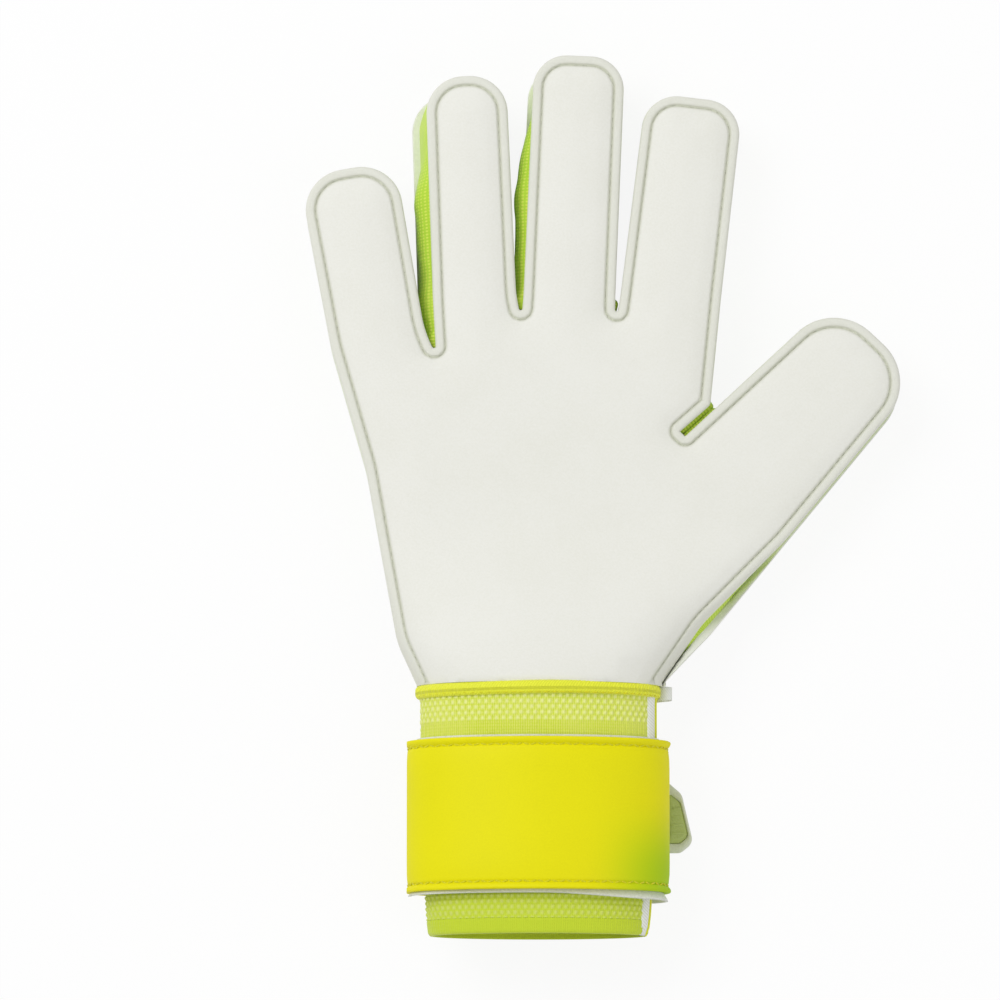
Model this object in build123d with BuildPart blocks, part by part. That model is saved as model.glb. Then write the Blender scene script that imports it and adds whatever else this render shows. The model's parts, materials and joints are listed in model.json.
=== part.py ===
"""Goalkeeper glove for the right hand, lying on its back with the palm up.

Every sewn panel, gusset, cuff piece and strap piece is its own solid. The frame has the
fingers along +Y, the thumb toward +X and the palm facing +Z; the glove rests on z = 0.
"""
import os
from math import cos, radians, sin

from build123d import *

# ------------------------------------------------------------ sizes of the hand (mm)
palm_w = 125.0  # breadth across the knuckles
palm_len = 128.0  # wrist seam to the finger creases
finger_depth = 24.0  # back of a finger to its palm surface
wrist_top = 40.0  # palm surface height at the wrist seam
wrist_lift = 6.0  # height of the back panel above the floor at the wrist seam
ramp_len = 50.0  # length over which the hand opens out to the cuff
foam_t = 4.0  # palm foam with its backing
back_t = 4.0  # padded back panel
gusset_t = 1.0  # stretch mesh gusset
seam_flange = 3.0  # raw edge outside the seam line
crease_gap = 0.3  # clearance where a finger bends away from the hand

# ------------------------------------------------------------ sizes of the cuff and strap (mm)
wrist_y = -63.3  # wrist seam
cuff_x = -21.2  # middle line of the cuff
cuff_len = 81.0  # wrist seam to the hem
binding_w = 4.0  # rolled tape at the wrist seam
hem_w = 5.0
strap_half_w = 42.25  # half breadth of the closed strap
strap_half_d = 23.0  # half depth of the closed strap
strap_w = 49.0  # strap height along the forearm
strap_drop = 18.1  # wrist seam to the strap's top edge
strap_t = 2.8
lining_t = 1.0
elastic_t = 1.6
wrap_gap = 0.3  # clearance between wrapped layers
slit_w = 5.0  # open slit in the elastic at the thumb side
slit_binding_w = 2.5
strap_start = -43.0  # angle where the strap is sewn on, from the thumb side
flap_outer_t = 1.8
flap_reach = 41.2  # middle line of the cuff to the free end of the flap
hook_start, hook_end = 8.0, 36.0  # hook patch along the flap, from the middle line
patch_t = 1.0
tab_reach = 9.2  # how far the pull tab sticks out
tab_h = 24.0
tab_t = 2.5
tab_rim = 2.0
tab_drop = 10.4  # strap top edge to the top of the tab

cuff_z = strap_half_d
strap_y = wrist_y - strap_drop
cuff_end = wrist_y - cuff_len

# ------------------------------------------------------------ fingers
# name: (across, along, lean, length, root half width, tip half width, tip corner,
#        extra back breadth on the left, on the right)
# across, along and the widths are shares of palm_w and palm_len.
FINGERS = {
    "little": (-0.418, 0.894, -10.3, 56.4, 0.122, 0.126, 0.84, 0.0, -2.5),
    "ring": (-0.165, 1.000, -2.3, 72.7, 0.107, 0.104, 0.93, 5.0, -1.0),
    "middle": (0.083, 1.004, 2.5, 78.9, 0.118, 0.117, 0.74, 1.6, 0.0),
    "index": (0.348, 1.004, 6.9, 65.3, 0.129, 0.126, 0.72, 0.0, 0.0),
    "thumb": (0.505, 0.502, 43.5, 68.7, 0.189, 0.151, 0.90, 0.0, 0.0),
}
# crotch floors between neighbouring fingers: (across, along, shift of the back panel)
CROTCHES = [(-0.270, 0.866, -4.4), (-0.044, 0.963, -1.2), (0.206, 0.960, 0.0)]
crotch_half = 0.7  # half opening of the slot between two fingers


def hand_pt(across, along):
    """Point of the hand from its shares of breadth and length."""
    return cuff_x + across * palm_w, wrist_y + along * palm_len


def finger_pt(name, across, along):
    """Point in a finger's own frame: across to the thumb side, along to the tip (mm)."""
    base_x, base_y = hand_pt(*FINGERS[name][:2])
    lean = radians(FINGERS[name][2])
    return (
        base_x + across * cos(lean) + along * sin(lean),
        base_y - across * sin(lean) + along * cos(lean),
    )


def finger_corners(name, back):
    """Root and tip corners of one finger with their rounding radii."""
    _, _, _, length, root, tip, corner, left, right = FINGERS[name]
    left, right = (left, right) if back else (0.0, 0.0)
    half_root, half_tip = root * palm_w, tip * palm_w
    pts = [
        finger_pt(name, -half_root - left, 0),
        finger_pt(name, -half_tip - left, length - left),
        finger_pt(name, half_tip + right, length),
        finger_pt(name, half_root + right, 0),
    ]
    return pts, [40.0, corner * half_tip, corner * half_tip, 40.0]


def crotch_corners(index, back):
    """The two floor corners of the slot between two fingers."""
    across, along, shift = CROTCHES[index]
    x, y = hand_pt(across, along)
    x += shift if back else 0.0
    return [(x - crotch_half, y), (x + crotch_half, y)], [0.6, 0.6]


def panel_outline(back):
    """Corner points and radii of a whole hand panel, starting at the wrist."""
    pts = [hand_pt(-0.304, -0.10), hand_pt(-0.304, -0.015), hand_pt(-0.364, 0.115)]
    pts += [hand_pt(-0.446, 0.560)]
    radii = [0.0, 12.0, 30.0, 60.0]
    for i, name in enumerate(["little", "ring", "middle", "index"]):
        more, more_r = finger_corners(name, back)
        pts, radii = pts + more, radii + more_r
        if i < len(CROTCHES):
            more, more_r = crotch_corners(i, back)
            pts, radii = pts + more, radii + more_r
    pts += [hand_pt(0.448, 0.722), hand_pt(0.372, 0.650), hand_pt(0.380, 0.642)]
    radii += [2.0, 0.5, 0.5]
    more, more_r = finger_corners("thumb", back)
    pts, radii = pts + more[1:], radii + more_r[1:]
    low_x, low_y = hand_pt(0.424, 0.158)
    low = (low_x + 2.9, low_y - 3.0) if back else (low_x, low_y)
    pts += [low, hand_pt(0.304, -0.015), hand_pt(0.304, -0.10)]
    radii += [35.0, 12.0, 0.0]
    return pts, radii


def panel_sketch(back, inset):
    """Flat panel, cut square at the wrist seam and reduced all round by the inset."""
    pts, radii = panel_outline(back)
    with BuildSketch() as panel:
        with BuildLine():
            FilletPolyline(*pts, radius=radii, close=True)
        make_face()
        if inset:
            offset(amount=-inset)
        with Locations((0, wrist_y + 200)):
            Rectangle(400, 400, mode=Mode.INTERSECT)
    return panel.sketch


def finger_band(name, back, start):
    """Centre, size and turn of the strip that holds one finger past its crease."""
    _, _, lean, length, root, tip, _, left, right = FINGERS[name]
    left, right = (left, right) if back else (0.0, 0.0)
    half = max(root, tip) * palm_w + 0.4
    centre = finger_pt(name, (right - left) / 2, start + (length + 10) / 2)
    return centre, (2 * half + left + right, length + 10), -lean


def keep_finger(name, back, start=crease_gap / 2):
    """Keep only one finger of the sketch under construction."""
    centre, size, turn = finger_band(name, back, start)
    with Locations(Location((*centre, 0), (0, 0, turn))):
        Rectangle(*size, mode=Mode.INTERSECT)


def drop_fingers(back):
    """Remove all five fingers from the sketch under construction."""
    for name in FINGERS:
        centre, size, turn = finger_band(name, back, -crease_gap / 2)
        with Locations(Location((*centre, 0), (0, 0, turn))):
            Rectangle(*size, mode=Mode.SUBTRACT)


def clip_to_profile(low, low_wrist, high, high_wrist):
    """Cut the solid under construction to heights that ramp open toward the wrist."""
    bend = wrist_y + ramp_len
    with BuildSketch(Plane.YZ) as profile:
        with BuildLine():
            Polyline(
                (wrist_y - 1, low_wrist),
                (bend, low),
                (200, low),
                (200, high),
                (bend, high),
                (wrist_y - 1, high_wrist),
                close=True,
            )
        make_face()
    extrude(profile.sketch, amount=300, both=True, mode=Mode.INTERSECT)


def nearest_face(sketch, x, y):
    """The face of a sketch closest to a point."""
    return min(sketch.faces(), key=lambda face: face.distance_to(Vertex(x, y, 0)))


def sector(start, end, reach=120.0):
    """Wedge about the cuff's middle line between two angles, for cutting rings."""
    count = max(2, int((end - start) / 30) + 1)
    turns = [radians(start + (end - start) * i / count) for i in range(count + 1)]
    rim = [(cuff_x + reach * cos(a), cuff_z + reach * sin(a)) for a in turns]
    with BuildSketch(mode=Mode.PRIVATE) as wedge:
        with BuildLine():
            Polyline((cuff_x, cuff_z), *rim, close=True)
        make_face()
    return wedge.sketch


def oval_ring(inset, thick, mode=Mode.ADD):
    """Oval ring about the cuff's middle line, its outside this far inside the strap."""
    with Locations((cuff_x, cuff_z)):
        Ellipse(strap_half_w - inset, strap_half_d - inset, mode=mode)
        Ellipse(strap_half_w - inset - thick, strap_half_d - inset - thick, mode=Mode.SUBTRACT)


parts = []


def keep(builder, label):
    """Name a finished solid and put it on the export list."""
    builder.part.label = label
    parts.append(builder.part)


palm = panel_sketch(back=False, inset=0)
back = panel_sketch(back=True, inset=0)
wall_outer = panel_sketch(back=False, inset=seam_flange)
wall_inner = panel_sketch(back=False, inset=seam_flange + gusset_t)
with BuildSketch() as wall:
    add(wall_outer)
    add(wall_inner, mode=Mode.SUBTRACT)

# ------------------------------------------------------------ hand panels
with BuildPart() as palm_foam:
    with BuildSketch():
        add(palm)
        drop_fingers(back=False)
    extrude(amount=80)
    clip_to_profile(finger_depth - foam_t, wrist_top - foam_t, finger_depth, wrist_top)
keep(palm_foam, "palm_foam")

with BuildPart() as back_panel:
    with BuildSketch():
        add(back)
        drop_fingers(back=True)
    extrude(amount=80)
    clip_to_profile(0, wrist_lift, back_t, wrist_lift + back_t)
keep(back_panel, "back_panel")

with BuildSketch() as hand_wall:
    add(wall.sketch)
    drop_fingers(back=False)

GUSSETS = {
    "web_little_ring": hand_pt(*CROTCHES[0][:2]),
    "web_ring_middle": hand_pt(*CROTCHES[1][:2]),
    "web_middle_index": hand_pt(*CROTCHES[2][:2]),
    "web_index_thumb": hand_pt(0.376, 0.646),
    "gusset_little_side": hand_pt(-0.40, 0.35),
    "gusset_thumb_side": hand_pt(0.45, 0.20),
}
for label, (x, y) in GUSSETS.items():
    with BuildPart() as gusset:
        with BuildSketch():
            add(nearest_face(hand_wall.sketch, x, y))
        extrude(amount=80)
        clip_to_profile(
            back_t, wrist_lift + back_t, finger_depth - foam_t, wrist_top - foam_t
        )
    keep(gusset, label)

# ------------------------------------------------------------ fingers
for name in FINGERS:
    with BuildPart() as finger_palm:
        with BuildSketch(Plane.XY.offset(finger_depth - foam_t)):
            add(palm)
            keep_finger(name, back=False)
        extrude(amount=foam_t)
    keep(finger_palm, f"{name}_palm")

    with BuildPart() as finger_back:
        with BuildSketch():
            add(back)
            keep_finger(name, back=True)
        extrude(amount=back_t)
    keep(finger_back, f"{name}_back")

    with BuildPart() as finger_gusset:
        with BuildSketch(Plane.XY.offset(back_t)):
            add(wall.sketch)
            keep_finger(name, back=False)
        extrude(amount=finger_depth - foam_t - back_t)
    keep(finger_gusset, f"{name}_gusset")

# ------------------------------------------------------------ cuff
lining_inset = strap_t + wrap_gap
elastic_inset = lining_inset + lining_t + wrap_gap
slit_z = cuff_z + slit_binding_w + slit_w / 2 - 1.5

with BuildPart() as wrist_binding:
    with BuildSketch(Plane.XZ.offset(-wrist_y)):
        oval_ring(elastic_inset - 1.0, 5.5)
    extrude(amount=binding_w)
keep(wrist_binding, "wrist_binding")


def slit_band(height):
    """Strip across the thumb side of the cuff, centred on the slit."""
    with Locations((cuff_x + strap_half_w, slit_z)):
        Rectangle(40, height, mode=Mode.INTERSECT)


elastic_top = -wrist_y + binding_w
elastic_len = cuff_len - binding_w - hem_w
with BuildPart() as cuff_elastic:
    with BuildSketch(Plane.XZ.offset(elastic_top)):
        oval_ring(elastic_inset, elastic_t)
        with Locations((cuff_x + strap_half_w, slit_z)):
            Rectangle(40, slit_w + 2 * slit_binding_w, mode=Mode.SUBTRACT)
    extrude(amount=elastic_len)
keep(cuff_elastic, "cuff_elastic")

with BuildPart() as cuff_hem:
    with BuildSketch(Plane.XZ.offset(-cuff_end - hem_w)):
        oval_ring(elastic_inset, elastic_t)
        with Locations((cuff_x + strap_half_w, slit_z)):
            Rectangle(40, slit_w + 2 * slit_binding_w, mode=Mode.SUBTRACT)
    extrude(amount=hem_w)
keep(cuff_hem, "cuff_hem")

for label, side in (("slit_binding_front", 1), ("slit_binding_back", -1)):
    with BuildPart() as slit_binding:
        with BuildSketch(Plane.XZ.offset(elastic_top)):
            oval_ring(elastic_inset, elastic_t)
            with Locations((cuff_x + strap_half_w, slit_z + side * (slit_w + slit_binding_w) / 2)):
                Rectangle(40, slit_binding_w, mode=Mode.INTERSECT)
        extrude(amount=elastic_len + hem_w)
    keep(slit_binding, label)

with BuildPart() as slit_tongue:
    with BuildSketch(Plane.XZ.offset(elastic_top)):
        oval_ring(elastic_inset + elastic_t + wrap_gap, 0.9)
        slit_band(slit_w + 4 * slit_binding_w)
    extrude(amount=elastic_len + hem_w - 4)
keep(slit_tongue, "slit_tongue")

with BuildPart() as size_label:
    label_z = cuff_z - (strap_half_d - elastic_inset - elastic_t) + 0.75
    with BuildSketch(Plane.XY.offset(label_z)):
        with Locations((cuff_x, cuff_end + 16)):
            Rectangle(18, 14)
    extrude(amount=0.6)
keep(size_label, "size_label")

with BuildPart() as corner_loop:
    loop_x = cuff_x + strap_half_w - elastic_inset + 1.0
    with BuildSketch(Plane.XY.offset(cuff_z - 4)):
        with Locations((loop_x + 3.0, wrist_y - 1.8)):
            RectangleRounded(5.4, 6.6, 1.6)
    extrude(amount=2.4)
keep(corner_loop, "corner_loop")

# ------------------------------------------------------------ strap
with BuildPart() as strap_outer:
    with BuildSketch(Plane.XZ.offset(-strap_y)):
        oval_ring(0, strap_t)
        add(sector(strap_start, 179.8), mode=Mode.INTERSECT)
    extrude(amount=strap_w)
keep(strap_outer, "strap_outer")

with BuildPart() as strap_lining:
    with BuildSketch(Plane.XZ.offset(-strap_y - 0.6)):
        oval_ring(lining_inset, lining_t)
        add(sector(strap_start, 179.8), mode=Mode.INTERSECT)
    extrude(amount=strap_w + 3.2)
keep(strap_lining, "strap_lining")

with BuildPart() as loop_patch:
    with BuildSketch(Plane.XZ.offset(-strap_y + (strap_w - 34) / 2)):
        oval_ring(-0.2 - patch_t, patch_t)
        add(sector(strap_start + 7, strap_start + 29), mode=Mode.INTERSECT)
    extrude(amount=34)
keep(loop_patch, "loop_patch")

# ------------------------------------------------------------ flap that opens
with BuildPart() as flap_outer:
    with BuildSketch(Plane.XZ.offset(-strap_y)):
        oval_ring(0, flap_outer_t)
        add(sector(180.2, 270), mode=Mode.INTERSECT)
        with Locations((cuff_x + flap_reach / 2, flap_outer_t / 2)):
            Rectangle(flap_reach, flap_outer_t)
    extrude(amount=strap_w)
keep(flap_outer, "flap_outer")

with BuildPart() as flap_lining:
    flap_lining_t = strap_t - flap_outer_t - 0.2
    with BuildSketch(Plane.XZ.offset(-strap_y + 1)):
        oval_ring(flap_outer_t + 0.2, flap_lining_t)
        add(sector(180.2, 270), mode=Mode.INTERSECT)
        with Locations((cuff_x + (hook_start - 1) / 2, strap_t - flap_lining_t / 2)):
            Rectangle(hook_start - 1, flap_lining_t)
    extrude(amount=strap_w - 2)
keep(flap_lining, "flap_lining")

with BuildPart() as hook_patch:
    with BuildSketch(Plane.XY.offset(flap_outer_t)):
        with Locations((cuff_x + (hook_start + hook_end) / 2, strap_y - strap_w / 2)):
            RectangleRounded(hook_end - hook_start, strap_w - 8, 4)
    extrude(amount=patch_t)
keep(hook_patch, "hook_patch")

# ------------------------------------------------------------ pull tab
tab_x = cuff_x + flap_reach + crease_gap
tab_y = strap_y - tab_drop
with BuildSketch() as tab_shape:
    with BuildLine():
        FilletPolyline(
            (tab_x, tab_y),
            (tab_x + 0.6 * tab_reach, tab_y - 0.2 * tab_h),
            (tab_x + tab_reach, tab_y - 0.86 * tab_h),
            (tab_x + 0.55 * tab_reach, tab_y - tab_h),
            (tab_x, tab_y - tab_h),
            radius=[0.8, 2.0, 3.0, 3.0, 0.8],
            close=True,
        )
    make_face()
with BuildSketch() as tab_window:
    add(tab_shape.sketch)
    offset(amount=-tab_rim)

with BuildPart() as tab_body:
    with BuildSketch():
        add(tab_shape.sketch)
        add(tab_window.sketch, mode=Mode.SUBTRACT)
    extrude(amount=tab_t)
keep(tab_body, "tab_body")

with BuildPart() as tab_grip:
    with BuildSketch(Plane.XY.offset(0.5)):
        add(tab_window.sketch)
        offset(amount=-0.1)
    extrude(amount=tab_t - 1.0)
keep(tab_grip, "tab_grip")

os.makedirs("parts", exist_ok=True)
for part in parts:
    export_step(part, f"parts/{part.label}.step")
print(f"{len(parts)} solids")
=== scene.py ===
"""Looks of a right-hand goalkeeper glove that lies on its back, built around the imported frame.

All lengths in this script are in millimetres and are turned into metres when a mesh is made.
The fingers point along +Y, the thumb toward +X, and the palm faces +Z.
"""

import json
import logging
from dataclasses import dataclass, field
from enum import Enum
from functools import partial
from math import acos, atan2, cos, pi, radians, sin, tan
from typing import ClassVar

import bpy
import numpy as np
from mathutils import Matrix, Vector
from mathutils.geometry import delaunay_2d_cdt

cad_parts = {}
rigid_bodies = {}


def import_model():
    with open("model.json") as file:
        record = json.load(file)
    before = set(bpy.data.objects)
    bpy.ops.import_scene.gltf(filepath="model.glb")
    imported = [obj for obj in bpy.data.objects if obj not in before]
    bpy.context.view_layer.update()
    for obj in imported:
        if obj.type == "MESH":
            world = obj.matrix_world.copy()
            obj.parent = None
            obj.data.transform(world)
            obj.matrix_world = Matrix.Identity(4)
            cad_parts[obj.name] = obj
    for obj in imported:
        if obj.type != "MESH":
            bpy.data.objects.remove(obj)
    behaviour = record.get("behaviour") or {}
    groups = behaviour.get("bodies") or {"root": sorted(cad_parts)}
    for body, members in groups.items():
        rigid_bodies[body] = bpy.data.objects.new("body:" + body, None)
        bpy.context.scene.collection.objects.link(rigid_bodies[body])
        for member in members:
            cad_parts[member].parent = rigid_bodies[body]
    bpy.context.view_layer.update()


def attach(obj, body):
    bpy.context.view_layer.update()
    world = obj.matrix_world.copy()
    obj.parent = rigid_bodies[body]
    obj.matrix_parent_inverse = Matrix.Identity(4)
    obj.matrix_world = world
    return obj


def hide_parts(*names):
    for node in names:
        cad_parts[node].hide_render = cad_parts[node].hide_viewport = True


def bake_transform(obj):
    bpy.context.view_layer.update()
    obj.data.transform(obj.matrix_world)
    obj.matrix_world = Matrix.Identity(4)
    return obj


LOG = logging.getLogger("glove")
MM = 0.001
TINY = 1e-9

Array = np.ndarray
Mesh = tuple[Array, list]  # points and faces
Socket = bpy.types.NodeSocket

# ---------------------------------------------------------------- sizes that several assemblies share
CUFF_X = -21.2  # middle line of the cuff
CUFF_Z = 23.0  # height of the forearm's axis
WRIST_Y = -63.3  # wrist seam
PALM_W = 125.0
PALM_LEN = 128.0
FINGER_DEPTH = 24.0
FOAM_T = 4.0
BACK_T = 4.0
RAMP_START_Y = -8.0  # where the flat hand starts to turn into the oval wrist
WRIST_RISE = 18.8  # half depth of the hand at the wrist seam
STRAP_HALF_W = 42.25
STRAP_HALF_D = 23.0
STRAP_TOP_Y = WRIST_Y - 18.1
STRAP_W = 49.0
STRAP_T = 2.8
CUFF_END_Y = WRIST_Y - 81.0
FLAP_REACH = 41.2
SEAM_PALM = 3.0  # seam line inside the raw edge of the palm panel
SEAM_BACK = 2.2  # the same on the back panel
THREAD_R = 0.26
HINGE_SLOPE = 0.2  # rise of the strap's relief away from the flap's hinge
CROTCH_HALF = 0.7
BLEND_LEN = 15.0  # length over which a finger's pieces would bend; only worked out, not used


class Side(Enum):
    """The two panels of the hand."""

    PALM = "palm"
    BACK = "back"


def hand_point(across: float, along: float) -> tuple[float, float]:
    """Pattern point from its shares of the hand's breadth and length."""
    return CUFF_X + across * PALM_W, WRIST_Y + along * PALM_LEN


def smooth(value: Array | float) -> Array:
    """Smooth step of a value clipped to 0..1."""
    t = np.clip(value, 0.0, 1.0)
    return t * t * (3.0 - 2.0 * t)


def path_run(path: Array) -> Array:
    """Distance along a path at each of its points."""
    return np.concatenate([[0.0], np.cumsum(np.linalg.norm(np.diff(path, axis=0), axis=1))])


@dataclass(frozen=True)
class FingerCut:
    """One finger of the pattern.

    Args:
        across: base of the finger as a share of PALM_W from the cuff's middle line.
        along: base of the finger as a share of PALM_LEN from the wrist seam.
        lean: degrees from +Y toward the thumb.
        length: base to fingertip.
        root: half width at the base as a share of PALM_W.
        tip: half width at the tip as a share of PALM_W.
        corner: rounding of the tip as a share of the half width.
        back_left: extra breadth of the back panel on the left.
        back_right: extra breadth of the back panel on the right.
        split: where the finger's own pieces start, from its base.
    """

    across: float
    along: float
    lean: float
    length: float
    root: float
    tip: float
    corner: float
    back_left: float = 0.0
    back_right: float = 0.0
    split: float = -1.0

    def place(self, across: float, along: float) -> tuple[float, float]:
        """Point of the pattern from a position in the finger's own frame.

        Args:
            across: position across the finger.
            along: position along the finger.

        Returns:
            Its x and y.
        """
        base_x, base_y = hand_point(self.across, self.along)
        lean = radians(self.lean)
        return (
            base_x + across * cos(lean) + along * sin(lean),
            base_y - across * sin(lean) + along * cos(lean),
        )

    def local(self, points: Array) -> tuple[Array, Array]:
        """Positions of pattern points in the finger's own frame.

        Args:
            points: positions in mm.

        Returns:
            Positions across and along the finger.
        """
        base = np.array(hand_point(self.across, self.along))
        lean = radians(self.lean)
        rel = np.asarray(points, float)[..., :2] - base
        across = rel[..., 0] * cos(lean) - rel[..., 1] * sin(lean)
        along = rel[..., 0] * sin(lean) + rel[..., 1] * cos(lean)
        return across, along


FINGERS = {
    "little": FingerCut(-0.418, 0.894, -10.3, 56.4, 0.122, 0.126, 0.84, back_right=-2.5),
    "ring": FingerCut(-0.165, 1.000, -2.3, 72.7, 0.107, 0.104, 0.93, back_left=5.0, back_right=-1.0),
    "middle": FingerCut(0.083, 1.004, 2.5, 78.9, 0.118, 0.117, 0.74, back_left=1.6),
    "index": FingerCut(0.348, 1.004, 6.9, 65.3, 0.129, 0.126, 0.72),
    "thumb": FingerCut(0.505, 0.502, 43.5, 68.7, 0.189, 0.151, 0.90, split=3.0),
}
# Bottoms of the gaps between the fingers: shares of breadth and length, and the back panel's shift.
CROTCHES = ((-0.270, 0.866, -4.4), (-0.044, 0.963, -1.2), (0.206, 0.960, 0.0))
THUMB_CROTCH = (0.376, 0.646)


# ---------------------------------------------------------------- finishes
class Weave(Enum):
    """Surface structures that a finish can have."""

    FOAM = "foam"
    MESH = "mesh"
    KNIT = "knit"
    TWILL = "twill"
    COATED = "coated"
    LOOP = "loop"
    RUBBER = "rubber"
    THREAD = "thread"


@dataclass(frozen=True)
class Finish:
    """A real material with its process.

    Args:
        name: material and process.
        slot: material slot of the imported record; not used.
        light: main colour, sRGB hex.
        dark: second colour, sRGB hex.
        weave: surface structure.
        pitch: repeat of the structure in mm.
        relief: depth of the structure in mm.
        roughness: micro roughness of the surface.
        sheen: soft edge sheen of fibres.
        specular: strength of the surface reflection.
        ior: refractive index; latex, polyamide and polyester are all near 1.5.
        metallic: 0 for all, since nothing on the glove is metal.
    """

    name: str
    slot: str
    light: str
    dark: str
    weave: Weave
    pitch: float
    relief: float
    roughness: float
    sheen: float = 0.0
    specular: float = 0.3
    ior: float = 1.5
    metallic: float = 0.0


# Cut latex foam: dull, chalky and even, with no highlight. Cells are 0.2 mm; drawn at 0.7 to show.
LATEX = Finish("latex_foam_cut_sheet", "latex_foam", "E9E9E2", "E4E4DB", Weave.FOAM, 0.7, 0.04, 0.85)
# Foam laminated to cloth: as dull as the palm, a little greener and coarser. Cells 0.3 mm, drawn at 0.9.
BACK = Finish("latex_foam_padded_back", "back_foam", "E8EADF", "DFE2D3", Weave.FOAM, 0.9, 0.06, 0.8, 0.1)
# Knitted polyester spacer mesh: rows of small holes and a soft rim of light. Holes 1.1 mm apart.
GUSSET = Finish("stretch_mesh_knitted", "mesh_gusset", "E0EF66", "B8DC3C", Weave.MESH, 1.1, 0.12, 0.75, 0.3)
# Woven binding tape: fine slanting ribs, half matt. Ribs are 0.4 mm; drawn at 0.9 to show.
TAPE = Finish("binding_tape_woven", "binding_tape", "ECEF3C", "DDE22A", Weave.TWILL, 0.9, 0.08, 0.6, 0.2)
# Knitted elastic bandage: loops in columns, with a painted highlight on the knots where the mesh is raised.
# Loops 0.75 mm.
KNIT = Finish("elastic_bandage_knitted", "knit_elastic", "DDE46A", "C9D930", Weave.KNIT, 0.75, 0.1, 0.7, 0.3)
# Ribbed elastic hem: the same loops packed closer and greener, with no knots. Loops 0.75 mm.
HEM = Finish("elastic_hem_ribbed", "hem_elastic", "D6E43C", "C2D62A", Weave.KNIT, 0.75, 0.1, 0.7, 0.3)
# White woven tape: cool white with faint slanting ribs. Ribs are 0.4 mm; drawn at 0.8 to show.
WHITE_TAPE = Finish("white_tape_woven", "white_binding", "F0F2EC", "D9DCCF", Weave.TWILL, 0.8, 0.07, 0.7, 0.2)
# Knitted stretch insert: deep green mesh that looks dark between the slit's edges. Holes 1.0 mm apart.
TONGUE = Finish("stretch_insert_knitted", "tongue_mesh", "9CBF2E", "6E8F22", Weave.MESH, 1.0, 0.1, 0.8, 0.2)
# Woven satin label: smooth, with a long soft highlight. Threads are 0.1 mm; drawn at 0.5 to show.
LABEL = Finish("satin_label_woven", "label_satin", "EDEDE8", "DADAD2", Weave.TWILL, 0.5, 0.03, 0.35, 0.1)
# Polyurethane coating pressed on foam: full plain yellow with a faint grain, nearly matt. Grain 0.5 mm.
STRAP = Finish(
    "coated_strap_pressed", "strap_face", "E9E200", "E3DC00", Weave.COATED, 0.5, 0.02, 0.55, specular=0.18
)
# Brushed lining: pale and fluffy, brighter toward its edges. Fibres are 0.02 mm; drawn as 0.6 tufts.
BACKING = Finish("strap_lining_brushed", "strap_backing", "E6E8E0", "CDD1C2", Weave.LOOP, 0.6, 0.1, 0.85, 0.4)
# Brushed loop pile: furry and uneven, with no highlight. Loops are 0.7 mm apart.
LOOPS = Finish("loop_fabric_brushed", "loop_pile", "CDD548", "A9B32C", Weave.LOOP, 0.7, 0.25, 0.9, 0.5)
# Moulded polyamide hook tape: milky plastic with small bright points. Grain 0.6 mm.
HOOKS = Finish("hook_tape_moulded", "hook_tape", "DFE1D0", "C9CCB4", Weave.RUBBER, 0.6, 0.03, 0.45)
# Moulded rubber rim: milky and smooth with a broad soft highlight. Mould grain 0.5 mm.
TAB_RIM = Finish(
    "tab_rim_moulded_rubber", "tab_rubber", "E0E4D2", "D2D8BE", Weave.RUBBER, 0.5, 0.03, 0.5, 0.1
)
# Moulded rubber grip: olive green, duller than its rim. Mould grain 0.5 mm.
TAB_GRIP = Finish(
    "tab_grip_moulded_rubber", "grip_rubber", "BECB82", "AEBD68", Weave.RUBBER, 0.5, 0.04, 0.55, 0.1
)
# Polyester sewing thread: a thin pale line of short dashes. Its twist of 0.5 mm gives slanting lights.
SEAM_THREAD = Finish(
    "sewing_thread_pale", "latex_foam", "D6D8C8", "BEC0AE", Weave.THREAD, 0.5, 0.05, 0.6, 0.2
)
# The same thread dyed lime, hardly darker than the strap it holds.
LIME_THREAD = Finish(
    "sewing_thread_lime", "binding_tape", "E0DB18", "CFCB10", Weave.THREAD, 0.5, 0.05, 0.6, 0.2
)

STRAP_FADE = "A9CC06"  # lime that the strap's colour fades to at its lower thumb side
GROOVE_SHADE = "B9BDA4"  # painted shade on the foam in the stitched grooves, the back's bend channels and the palm's flange
LOWER_KNIT = "BFD322"  # greener knit below the strap
KNOT_LIGHT = "F2F5AE"  # painted highlight on the raised knots
MIX_A, MIX_B, MIX_RESULT = 6, 7, 2  # colour sockets of the Mix node


def linear(hex_colour: str) -> tuple[float, float, float, float]:
    """Linear colour from an sRGB hex string.

    Args:
        hex_colour: six hex digits.

    Returns:
        Red, green, blue and alpha.
    """
    channels = [int(hex_colour[i : i + 2], 16) / 255.0 for i in (0, 2, 4)]
    low = [c / 12.92 for c in channels]
    high = [((c + 0.055) / 1.055) ** 2.4 for c in channels]
    return (*(lo if c <= 0.04045 else hi for c, lo, hi in zip(channels, low, high)), 1.0)


def add_node(
    tree: bpy.types.NodeTree,
    kind: str,
    inputs: dict | None = None,
    output: int | str = 0,
    **settings: object,
) -> Socket:
    """Add a shader node with its settings and links.

    Args:
        tree: node tree that gets the node.
        kind: type of the node, without its ShaderNode prefix.
        inputs: a value or a socket for each input, by name or index.
        output: the output to give back, by name or index.
        **settings: properties of the node.

    Returns:
        The chosen output.
    """
    made = tree.nodes.new(f"ShaderNode{kind}")
    for key, value in settings.items():
        setattr(made, key, value)
    for key, value in (inputs or {}).items():
        if isinstance(value, Socket):
            tree.links.new(value, made.inputs[key])
        else:
            made.inputs[key].default_value = value
    return made.outputs[output]


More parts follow.
